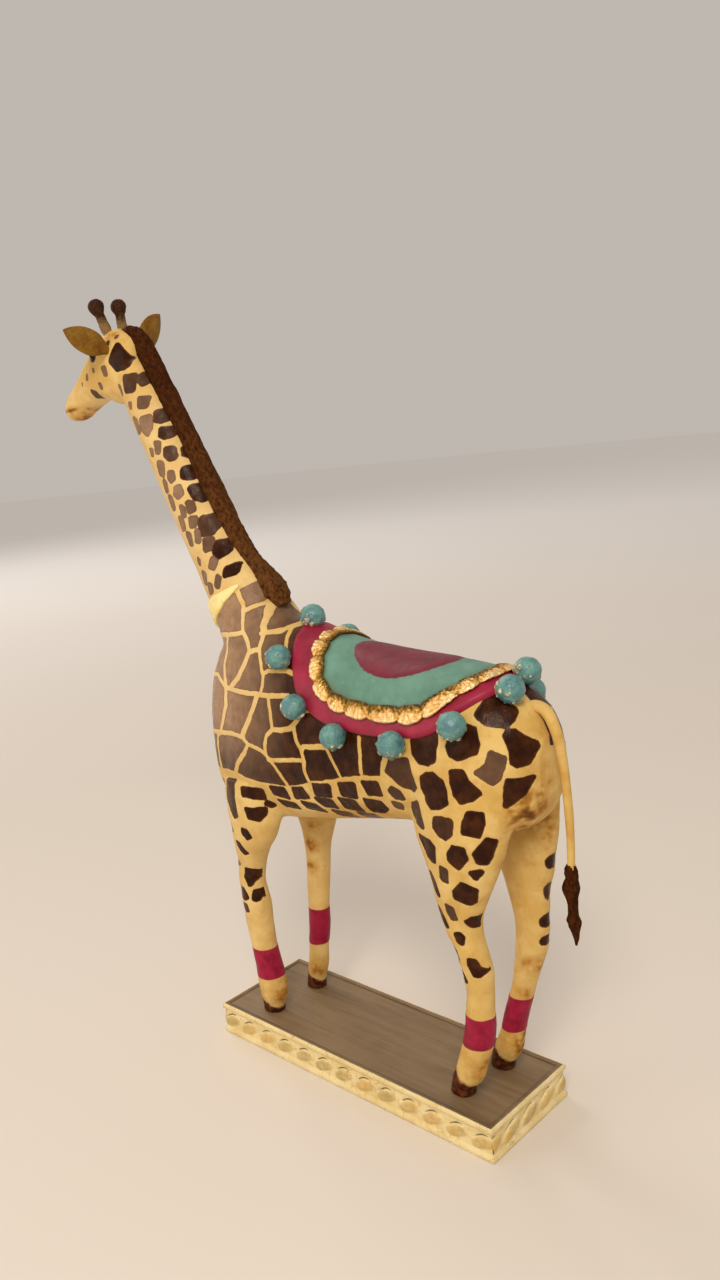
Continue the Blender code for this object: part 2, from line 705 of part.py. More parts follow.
def make_mane():
    """Mane: a raised strip down the back of the neck, hollowed to fit what it lies on."""
    points = [(0.0, y, z) for y, z in MANE_CREST]
    directions = path_directions(points)
    rings = []
    for index, (point, direction) in enumerate(zip(points, directions)):
        half_width, height = interpolate(MANE, index / (len(points) - 1))
        outward = Vector((1.0, 0.0, 0.0)).cross(direction).normalized()
        ring = []
        for x_share, drop in ((-1.0, height + MANE_DEPTH), (-1.0, height), (-0.7, height * 0.25), (0.0, 0.0),
                              (0.7, height * 0.25), (1.0, height), (1.0, height + MANE_DEPTH)):
            ring.append(Vector((half_width * x_share, 0.0, 0.0)) + Vector(point) - outward * drop)
        rings.append(ring)
    mane = loft("mane", rings, "mane_paint")
    hollows = [
        loft("mane_neck_hollow", neck_rings(GAP)),
        loft("mane_body_hollow", body_rings(GAP)),
        loft("mane_head_hollow", head_rings(GAP)),
    ]
    combine(mane, hollows, "DIFFERENCE")
    return mane


def make_collar():
    """Collar: a band around the throat side of the neck's foot, deepest in front."""
    centre, normal = Vector(NECK_JOINT[0]), Vector(NECK_JOINT[1]).normalized()
    forward = normal.cross(Vector((1.0, 0.0, 0.0))).normalized()
    if forward.y > 0.0:
        forward = -forward
    _, _, wide, deep = NECK[2]
    rings = []
    for step in range(COLLAR_STEPS + 1):
        share = 2.0 * step / COLLAR_STEPS - 1.0
        angle = math.radians(COLLAR_REACH * share)
        half = COLLAR_END_HALF + (COLLAR_FRONT_HALF - COLLAR_END_HALF) * (1.0 - share * share)
        radial = Vector((1.0, 0.0, 0.0)) * math.sin(angle) + forward * math.cos(angle)
        ring = []
        for height, thickness in ((-half, 0.0), (half, 0.0), (half, 1.0), (-half, 1.0)):
            flare = 1.0 - 0.012 * height
            grow = GAP * 2.0 + thickness * COLLAR_THICKNESS
            reach_x = math.sin(angle) * (wide * flare + grow)
            reach_y = math.cos(angle) * (deep * flare + grow)
            point = centre + Vector((reach_x, 0.0, 0.0)) + forward * reach_y + normal * height
            ring.append(point)
        rings.append(ring)
    collar = loft("collar", rings, "plinth_moulding")
    hollows = [
        loft("collar_neck_hollow", neck_rings(GAP)),
        loft("collar_body_hollow", body_rings(GAP)),
    ]
    combine(collar, hollows, "DIFFERENCE")
    return collar


def make_tail(torso):
    """Tail pegged into the rump, and the tuft at its end."""
    for name, path, paint in (("tail", TAIL_PATH, "cream_paint"), ("tail_tuft", TUFT_PATH, "mane_paint")):
        points = [(0.0, y, z) for y, z, _ in path]
        directions = path_directions(points)
        rings = [along_ring(point, direction, radius, radius, THIN_SIDES)
                 for point, direction, (_, _, radius) in zip(points, directions, path)]
        loft(name, rings, paint)
    socket_rings = []
    path = TAIL_PATH[:3]
    points = [Vector((0.0, y, z)) for y, z, _ in path]
    points[0] -= (points[1] - points[0]).normalized() * GAP
    for point, direction, (_, _, radius) in zip(points, path_directions(points), path):
        socket_rings.append(along_ring(point, direction, radius + 2.0 * GAP, radius + 2.0 * GAP, THIN_SIDES))
    combine(torso, [loft("tail_socket", socket_rings)], "DIFFERENCE", "MANIFOLD")


def moulding_profile():
    """Section of a plinth moulding as distance out from the board and height."""
    face = MOULDING_THICKNESS
    field = MOULDING_THICKNESS - MOULDING_FIELD_DEPTH
    top_rail = PLINTH_HEIGHT - TOP_RAIL_HEIGHT
    edge = 0.8
    return [
        (0.0, 0.0),
        (face, 0.0),
        (face, BOTTOM_RAIL_HEIGHT),
        (field, BOTTOM_RAIL_HEIGHT + edge),
        (field, top_rail - edge),
        (face, top_rail),
        (face, PLINTH_HEIGHT - edge),
        (face - edge, PLINTH_HEIGHT),
        (0.0, PLINTH_HEIGHT),
    ]


def make_moulding(name, length, distance, direction):
    """One moulding with mitred ends; direction is the way its face looks."""
    outward = Vector(direction)
    along = Vector((-outward.y, outward.x, 0.0))
    rings = []
    for end in (-1.0, 1.0):
        ring = []
        for out, height in moulding_profile():
            half = length * 0.5 + out - GAP
            point = outward * (distance + out) + along * (half * end)
            ring.append(point + Vector((0.0, 0.0, height)))
        rings.append(ring)
    loft(name, rings, "plinth_moulding")


def make_plinth():
    """Plinth board and its four mouldings."""
    inner_width = PLINTH_WIDTH - 2.0 * MOULDING_THICKNESS
    inner_length = PLINTH_LENGTH - 2.0 * MOULDING_THICKNESS
    bm = bmesh.new()
    bmesh.ops.create_cube(bm, size=1.0)
    size = (inner_width - 2.0 * GAP, inner_length - 2.0 * GAP, BOARD_HEIGHT)
    bmesh.ops.scale(bm, vec=size, verts=bm.verts)
    bmesh.ops.translate(bm, vec=(0.0, 0.0, BOARD_HEIGHT * 0.5), verts=bm.verts)
    board = add_object("plinth_board", bm, "plinth_board")
    make_moulding("moulding_left", inner_length, inner_width * 0.5, (1.0, 0.0, 0.0))
    make_moulding("moulding_right", inner_length, inner_width * 0.5, (-1.0, 0.0, 0.0))
    make_moulding("moulding_rear", inner_width, inner_length * 0.5, (0.0, 1.0, 0.0))
    make_moulding("moulding_front", inner_width, inner_length * 0.5, (0.0, -1.0, 0.0))
    return board


def make_foot_screws(board, legs):
    """Countersunk screws up through the board into the feet."""
    for name, (leg, stations, side, _) in legs.items():
        x, y = stations[1][1] * MIRROR_SIDE[side], stations[1][2]
        head_top = SCREW_HEAD_RECESS + SCREW_HEAD_HEIGHT
        profile = [
            (SCREW_HEAD_RECESS, SCREW_HEAD_RADIUS),
            (head_top, SCREW_RADIUS),
            (SCREW_TIP_Z - 3.0, SCREW_RADIUS),
            (SCREW_TIP_Z, 0.4),
        ]
        upward = (0.0, 0.0, 1.0)
        rings = [along_ring((x, y, z), upward, r, r, THIN_SIDES) for z, r in profile]
        loft(name.replace("_leg", "_foot_screw"), rings, "screw_steel")
        bore = rod(name + "_screw_bore", (x, y, -1.0), (x, y, SCREW_TIP_Z + GAP), SCREW_RADIUS + GAP)
        counterbore_top = head_top + GAP
        counterbore = rod(name + "_screw_recess", (x, y, -1.0), (x, y, counterbore_top),
                          SCREW_HEAD_RADIUS + GAP)
        combine(board, [bore, counterbore], "DIFFERENCE")
        combine(leg, [bore], "DIFFERENCE")


def make_leg_dowels(torso, legs):
    """Upright dowels between the legs and the body."""
    for name, (leg, stations, side, joint_z) in legs.items():
        _, x, y, _, _ = min(stations, key=lambda station: abs(station[0] - joint_z))
        centre = (x * MIRROR_SIDE[side], y, joint_z)
        dowel_with_holes(name.replace("_leg", "_leg_dowel"), centre, (0.0, 0.0, 1.0),
                         DOWEL_RADIUS, LEG_DOWEL_HALF, (torso, leg))


def main():
    """Build the whole statuette."""
    clear_scene()
    board = make_plinth()
    legs, blanks = make_legs()
    torso = make_torso(legs, blanks)
    neck = make_neck()
    head = make_head()
    make_foot_screws(board, legs)
    make_leg_dowels(torso, legs)
    dowel_with_holes("neck_dowel", NECK_JOINT[0], NECK_JOINT[1],
                     NECK_DOWEL_RADIUS, NECK_DOWEL_HALF, (torso, neck))
    dowel_with_holes("head_dowel", HEAD_JOINT[0], HEAD_JOINT[1],
                     DOWEL_RADIUS, HEAD_DOWEL_HALF, (neck, head))
    make_horns(head)
    make_ears(head)
    make_mane()
    make_collar()
    make_tail(torso)
    make_saddle()
    make_braid()
    make_beads()


main()
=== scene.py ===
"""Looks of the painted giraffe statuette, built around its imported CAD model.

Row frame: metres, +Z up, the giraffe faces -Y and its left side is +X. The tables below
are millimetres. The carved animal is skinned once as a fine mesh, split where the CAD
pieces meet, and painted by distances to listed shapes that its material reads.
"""

import math

import bmesh
import bpy
import numpy as np
from mathutils import Euler, Matrix, Vector, noise
from mathutils.bvhtree import BVHTree


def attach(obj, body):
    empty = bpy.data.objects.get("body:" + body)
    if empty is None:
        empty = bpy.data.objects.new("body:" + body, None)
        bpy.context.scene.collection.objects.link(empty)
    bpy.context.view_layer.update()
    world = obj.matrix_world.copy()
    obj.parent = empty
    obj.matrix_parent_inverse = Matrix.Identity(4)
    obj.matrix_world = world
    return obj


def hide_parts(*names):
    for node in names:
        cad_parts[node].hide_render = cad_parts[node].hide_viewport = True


MM = 0.001
SIDES = {"left": 1.0, "right": -1.0}
VOXEL = 0.8                  # grid of the carved skin
RING_SIDES = 56
STEPS_BETWEEN = 5            # rings added between two stations
FAR = 1e9
DISTANCE_LIMIT = 8.0         # stored distances stop here

# ---------------------------------------------------------------- carved forms
# y, half width, top z, bottom z, height of the widest line
BODY = [
    (125, 9, 209, 182, 196), (121, 18.5, 218, 171, 196),
    (112, 25, 227.5, 163, 196), (98, 29.5, 233.5, 159, 196),
    (76, 31, 236.5, 157, 196), (48, 31, 238, 156, 195),
    (20, 31, 240.5, 151, 193), (-8, 31, 246, 145.5, 191),
    (-34, 31, 254, 141, 188), (-58, 30, 256, 138, 186),
    (-77, 26.5, 247, 138, 182), (-90, 20.5, 230, 140.5, 179),
    (-98.5, 11, 205, 152, 177),
]
BODY_SQUARENESS = 2.25
# y, z, half width, half depth
NECK = [
    (-50, 226, 24, 27), (-60, 244.2, 21.5, 25.2), (-71.5, 264, 18.5, 22),
    (-84.2, 282.2, 15.8, 18.6), (-96.6, 301.3, 14.4, 16.9), (-109.1, 323.3, 13.6, 16.3),
    (-120.8, 346.2, 13.1, 15.7), (-132.2, 367, 12.5, 14.6), (-142.5, 385.5, 12, 13.2),
    (-150, 401, 10.5, 11.5),
]
NECK_JOINT = ((0.0, -73.0, 263.0), (0.0, -0.55, 0.835))
HEAD_JOINT = ((0.0, -143.0, 384.0), (0.0, -0.45, 0.893))
# y, half width, top z, bottom z, height of the widest line
HEAD = [
    (-137, 6, 408, 392, 400), (-140.5, 9.5, 412.5, 384, 400),
    (-149, 12, 417, 377.5, 400), (-160, 12.6, 418.5, 375.5, 399),
    (-172, 12.2, 413.5, 379.5, 397), (-184, 10.4, 406, 377.5, 391),
    (-196, 8.8, 397.5, 373.5, 384), (-205, 8.4, 390.5, 370, 379.5),
    (-212, 8.2, 384.5, 369.5, 377), (-217, 5.5, 380, 372.5, 376.5),
]
HEAD_SQUARENESS = 2.3
# z, x outwards, y, half width, half depth
LEGS = {
    ("front", "left"): [
        (17.9, 17, -69.5, 6, 6.9), (23, 17, -69, 6.1, 7.1), (27, 17.1, -68.2, 7.2, 8.2),
        (31, 17.2, -67.6, 7.8, 8.8),
        (38, 17.4, -67.8, 8, 8.8), (49, 17.5, -69, 7.2, 7.8), (60, 17.7, -70.6, 6.9, 7.6),
        (74, 18, -71.8, 7.3, 8.6), (87, 18.3, -72, 7.6, 8.9), (99, 18.6, -72.8, 7, 7.9),
        (111, 19.2, -70.6, 7.8, 8.6), (121, 20, -67.4, 9, 11), (131, 20.5, -63.6, 10.2, 15.5),
        (146, 20.5, -61, 11, 20), (164, 19, -62, 11, 21),
    ],
    ("front", "right"): [
        (17.9, 16, -67.5, 5.5, 6.5), (24, 16, -66, 5.5, 6), (31, 16.2, -64, 6.2, 6.4),
        (40, 16.4, -62.4, 6.1, 6.3), (49, 16.7, -61.4, 6, 6.2), (60, 17, -59.4, 6.2, 6.5),
        (74, 17.4, -58.6, 6.3, 6.8), (90, 18, -57, 6.8, 7.2), (101, 18.6, -56, 7, 7.4),
        (111, 19.2, -55.4, 7.6, 8.2), (121, 20, -55, 8.6, 10.6), (131, 20.5, -55.4, 10, 14.5),
        (146, 20.5, -57, 11, 19), (164, 19, -60, 11, 21),
    ],
    ("rear", "left"): [
        (17.9, 15, 69.8, 5.7, 6.8), (23, 15, 71.2, 5.9, 6.9), (27.5, 15.1, 73.9, 7, 7.9),
        (31.5, 15.2, 76.2, 7.4, 8.2),
        (39.5, 15.5, 79, 7.6, 8), (49, 15.8, 82.8, 7.4, 8), (60, 16.2, 85.6, 7, 7.6),
        (70, 16.6, 86.8, 6.8, 7.4), (80, 17, 88, 6.5, 6.9), (90, 17.5, 87.4, 6.8, 7.6),
        (100, 18, 85.8, 7.2, 8.2), (111, 18.3, 82.6, 7.9, 9.4), (121, 18.6, 81.6, 8.9, 11.8),
        (132, 18.8, 83, 10.2, 15.4), (144, 19, 84.6, 11.4, 19.8), (158, 19, 85, 12.4, 25.5),
        (178, 18, 86, 13, 29), (198, 16, 90, 12, 22),
    ],
    ("rear", "right"): [
        (17.9, 14.2, 73.2, 5.4, 6.5), (24, 14.2, 75, 5.6, 6.6), (29, 14.4, 77.6, 6.6, 7.4),
        (33.5, 14.5, 79.3, 6.9, 7.4),
        (41, 14.8, 81.6, 6.2, 6.6), (49, 15.1, 83.6, 5.8, 6.2), (59, 15.6, 86.6, 5.8, 6.2),
        (68, 16, 89.4, 6, 6.4), (78, 16.4, 92, 6.4, 7), (90, 17, 95.2, 7, 8.2),
        (100, 17.5, 96.2, 7.4, 8.9), (110, 18, 95.8, 7.9, 9.6), (121, 18.4, 94.6, 8.8, 11.4),
        (132, 18.8, 94.2, 10.2, 14.6), (144, 19, 91.6, 11.4, 19.2), (158, 19, 88.6, 12.4, 25),
        (178, 18, 87, 13, 28), (198, 16, 90, 12, 22),
    ],
}
JOINT_Z = {"front": 133.0, "rear": 140.0}
CUT_REACH, CUT_SNAP = 3.0, 0.02   # faces this near a joint plane are cut, corners this near snap to it
EYE = (10.9, -169.0, 405.3)
EYE_RADIUS = 3.0
EYE_LOOK, EYE_SHRINK = (0.6, 0.0, -0.4), 1.02   # the painted ball sits a little out and down
# the lips' darkening is painted shade in the mouth crease and the nostril
LIP_WIDTH, NOSTRIL_RADIUS, LIP_SHADE = 0.8, 1.3, 0.8
BROW = (9.81, -168.5, 407.9)
BROW_RADII = (3.6, 5.2, 2.0)
NOSTRIL = (5.6, -211.5, 381.5)
MOUTH = [(9, -188, 377), (8, -203, 376), (8.6, -212, 375.5), (3, -217, 375.8)]
NECK_ABOVE, HEAD_ABOVE, LEGS_BELOW = 225.0, 330.0, 160.0   # heights that the joint planes stay within
# Seams where limbs join, filled by smoothing: centre on the left side, radius
FILLETS = [
    ((18, -62, 146), 20), ((16, -40, 150), 14), ((10, -60, 138), 14), ((14, 60, 160), 18),
    ((10, 90, 160), 20), ((12, 112, 168), 14), ((14, -68, 246), 20), ((0, -84, 250), 18),
    ((0, -48, 258), 16), ((0, -150, 378), 9), ((10, -145, 392), 9), ((0, -136, 405), 8),
]
# Creases on both sides: depth (negative for a ridge), width, path
CREASES = [
    (1.5, 2.2, [(8, 117, 190), (13, 114, 178), (19, 110, 168), (22, 106, 160)]),
    (1.2, 3.0, [(26, 62, 166), (30, 64, 176), (30, 67, 188)]),
    (0.7, 4.0, [(27, -78, 160), (29, -66, 200), (24, -60, 232)]),
    (0.5, 0.9, MOUTH[1:]),
    (0.5, 0.9, MOUTH[:2]),
    (-0.7, 3.0, [(10.5, -158, 384), (9.5, -178, 380)]),
]
# Round swellings on both sides: height (negative for a dimple), radius, centre
SWELLS = [
    (0.8, 20.0, (30, 86, 190)), (0.9, 16.0, (27, -52, 176)), (0.6, 6.0, (18, -78, 100)),
    (0.7, 6.0, (17, 94, 92)), (-1.1, 1.5, NOSTRIL), (0.5, 2.4, (6.5, -211, 384.5)),
    (-0.8, 3.4, (10.5, -180.5, 397.5)), (-0.6, 5.0, (11.5, -165, 393)),
]
UNEVENNESS = [(0.35, 22.0, 1.0), (0.22, 9.0, 2.0), (0.07, 3.2, 3.0)]   # height, size and seed
FACE_Z, FACE_UNEVENNESS = 372.0, 0.45   # the face is smoother
FIRST_ROUNDS, SEAM_ROUNDS, LAST_ROUNDS = 5, 45, 4   # of smoothing
RELAX_IN, RELAX_OUT, SOFTEN_STEP = 0.55, -0.57, 0.5
CLEFT_DEPTH, CLEFT_WIDTH, CLEFT_LOW, CLEFT_HIGH = 1.1, 1.0, 17.0, 23.5
HOOF_RIM, HOOF_RIM_WIDTH, HOOF_RIM_DROP, HOOF_REACH = 0.25, 1.6, 2.5, 14.0

# ---------------------------------------------------------------- painted pattern
# Places on the left side are (distance along the skin, height). The distance is y on the flank
# and runs on round the chest and the rump. The right side mirrors them with a little drift.
# Height and y of the farthest point, then the y where the turn starts and its length along the skin
CHEST_REACH = [(140, -90), (152, -98.5), (205, -98.5), (230, -92), (247, -86), (264, -84)]
CHEST_TURN, CHEST_WRAP = -50.0, 60.0
CHEST_LOW, CHEST_HIGH = 140.0, 262.0
RUMP_REACH = [(171, 121), (182, 126.5), (209, 126.5), (218, 122), (227, 114)]
RUMP_TURN, RUMP_WRAP = 100.0, 45.0
RUMP_LOW, RUMP_BLEND = 172.0, 10.0
RIGHT_DRIFT, HAND_WOBBLE = 3.4, 0.35   # how far the right side strays, and the brush

# Dark field over the chest, shoulder and flank, and the cream lines drawn over it with their widths
FIELD = [
    (-118, 266), (-84, 264), (-62, 268), (-52, 274), (-43, 269), (-36, 262), (-20, 258), (20, 250),
    (62, 244), (60, 215), (54, 198), (50, 187), (37, 185), (30, 183.5), (22, 181.5), (16, 179.5),
    (7, 177), (-1, 175.5), (-10, 172), (-22, 168.5), (-42, 168), (-52, 168.5), (-60, 170.5),
    (-66, 170), (-78, 168), (-118, 167),
]
LINES = [
    (2.4, [(-60, 270), (-55, 263), (-54, 256), (-53, 249), (-49, 243), (-47, 238)]),
    (2.2, [(-54, 259), (-48, 261.5), (-44, 263)]),
    (3.4, [(-46, 270), (-43, 262), (-42, 256)]),
    (2.8, [(-42, 256), (-42, 251), (-40, 246), (-40, 240), (-47, 238)]),
    (2.4, [(-42, 247.5), (-35, 248.5), (-30, 249), (-26, 251), (-21, 252)]),
    (2.0, [(-26, 251), (-24, 245), (-21, 240)]),
    (3.2, [(-47, 238), (-50, 231), (-53, 225), (-60, 218)]),
    (2.2, [(-40, 240), (-36, 232), (-33.5, 227), (-33.5, 222), (-35, 217.5)]),
    (2.2, [(-34, 228), (-30, 230), (-17, 231), (-8, 229)]),
    (2.6, [(-64, 217.5), (-49, 217), (-36, 217.5), (-28, 217.5), (-14, 219)]),
    (2.6, [(-118, 243), (-84, 244), (-76, 245), (-66, 246), (-58, 247), (-53, 248)]),
    (2.4, [(-66, 246), (-68, 240), (-68, 230), (-64, 218)]),
    (2.4, [(-64, 218), (-75, 223), (-90, 220), (-118, 219)]),
    (2.4, [(-64, 218), (-63.5, 208), (-66, 200), (-70, 191)]),
    (2.4, [(-70, 191), (-75, 188), (-76, 181), (-76, 172), (-77, 166)]),
    (2.6, [(-118, 187), (-90, 187), (-80, 189.5), (-70, 191), (-59, 193), (-51, 192.5), (-47, 189)]),
    (3.2, [(-37, 217), (-40, 211), (-44, 204), (-48, 198), (-51, 193)]),
    (2.4, [(-29, 217.5), (-27.5, 211), (-26.5, 205), (-26, 200), (-31, 196), (-33, 191), (-33, 185)]),
    (2.8, [(-26, 200), (-19, 200.5), (-12, 202.5), (-7, 207), (-4, 211), (0, 213.5), (8, 214)]),
    (2.4, [(-9, 205), (-9, 201), (-8, 196), (-5, 192), (-4, 186), (-5, 180), (-3, 173)]),
    (2.8, [(-5, 192), (-3, 194), (4, 195), (14, 196.5)]),
    (2.0, [(13, 196.5), (15, 193), (17, 189), (19, 185), (21, 181)]),
    (2.4, [(-33, 185), (-28, 180), (-25, 176), (-22, 171), (-21, 166)]),
    (2.2, [(-32, 182.5), (-21, 184), (-12, 185.5), (-4, 186.5)]),
    (2.4, [(-47, 189), (-43, 188.5), (-36, 187), (-33, 185)]),
    (2.4, [(-47, 189), (-51, 183), (-57, 176), (-60, 171)]),
    (2.2, [(36.5, 204), (36.5, 195), (35.5, 186)]),
    (3.2, [(55, 200), (51.5, 193), (50, 187)]),
    (2.2, [(-97, 243.5), (-100, 254), (-95, 268)]),
    (2.2, [(-90, 243.5), (-94, 232), (-90, 220)]),
    (2.4, [(-97, 219.5), (-100, 210), (-98, 198), (-92, 187)]),
    (2.2, [(-100, 187), (-97, 177), (-100, 166)]),
]
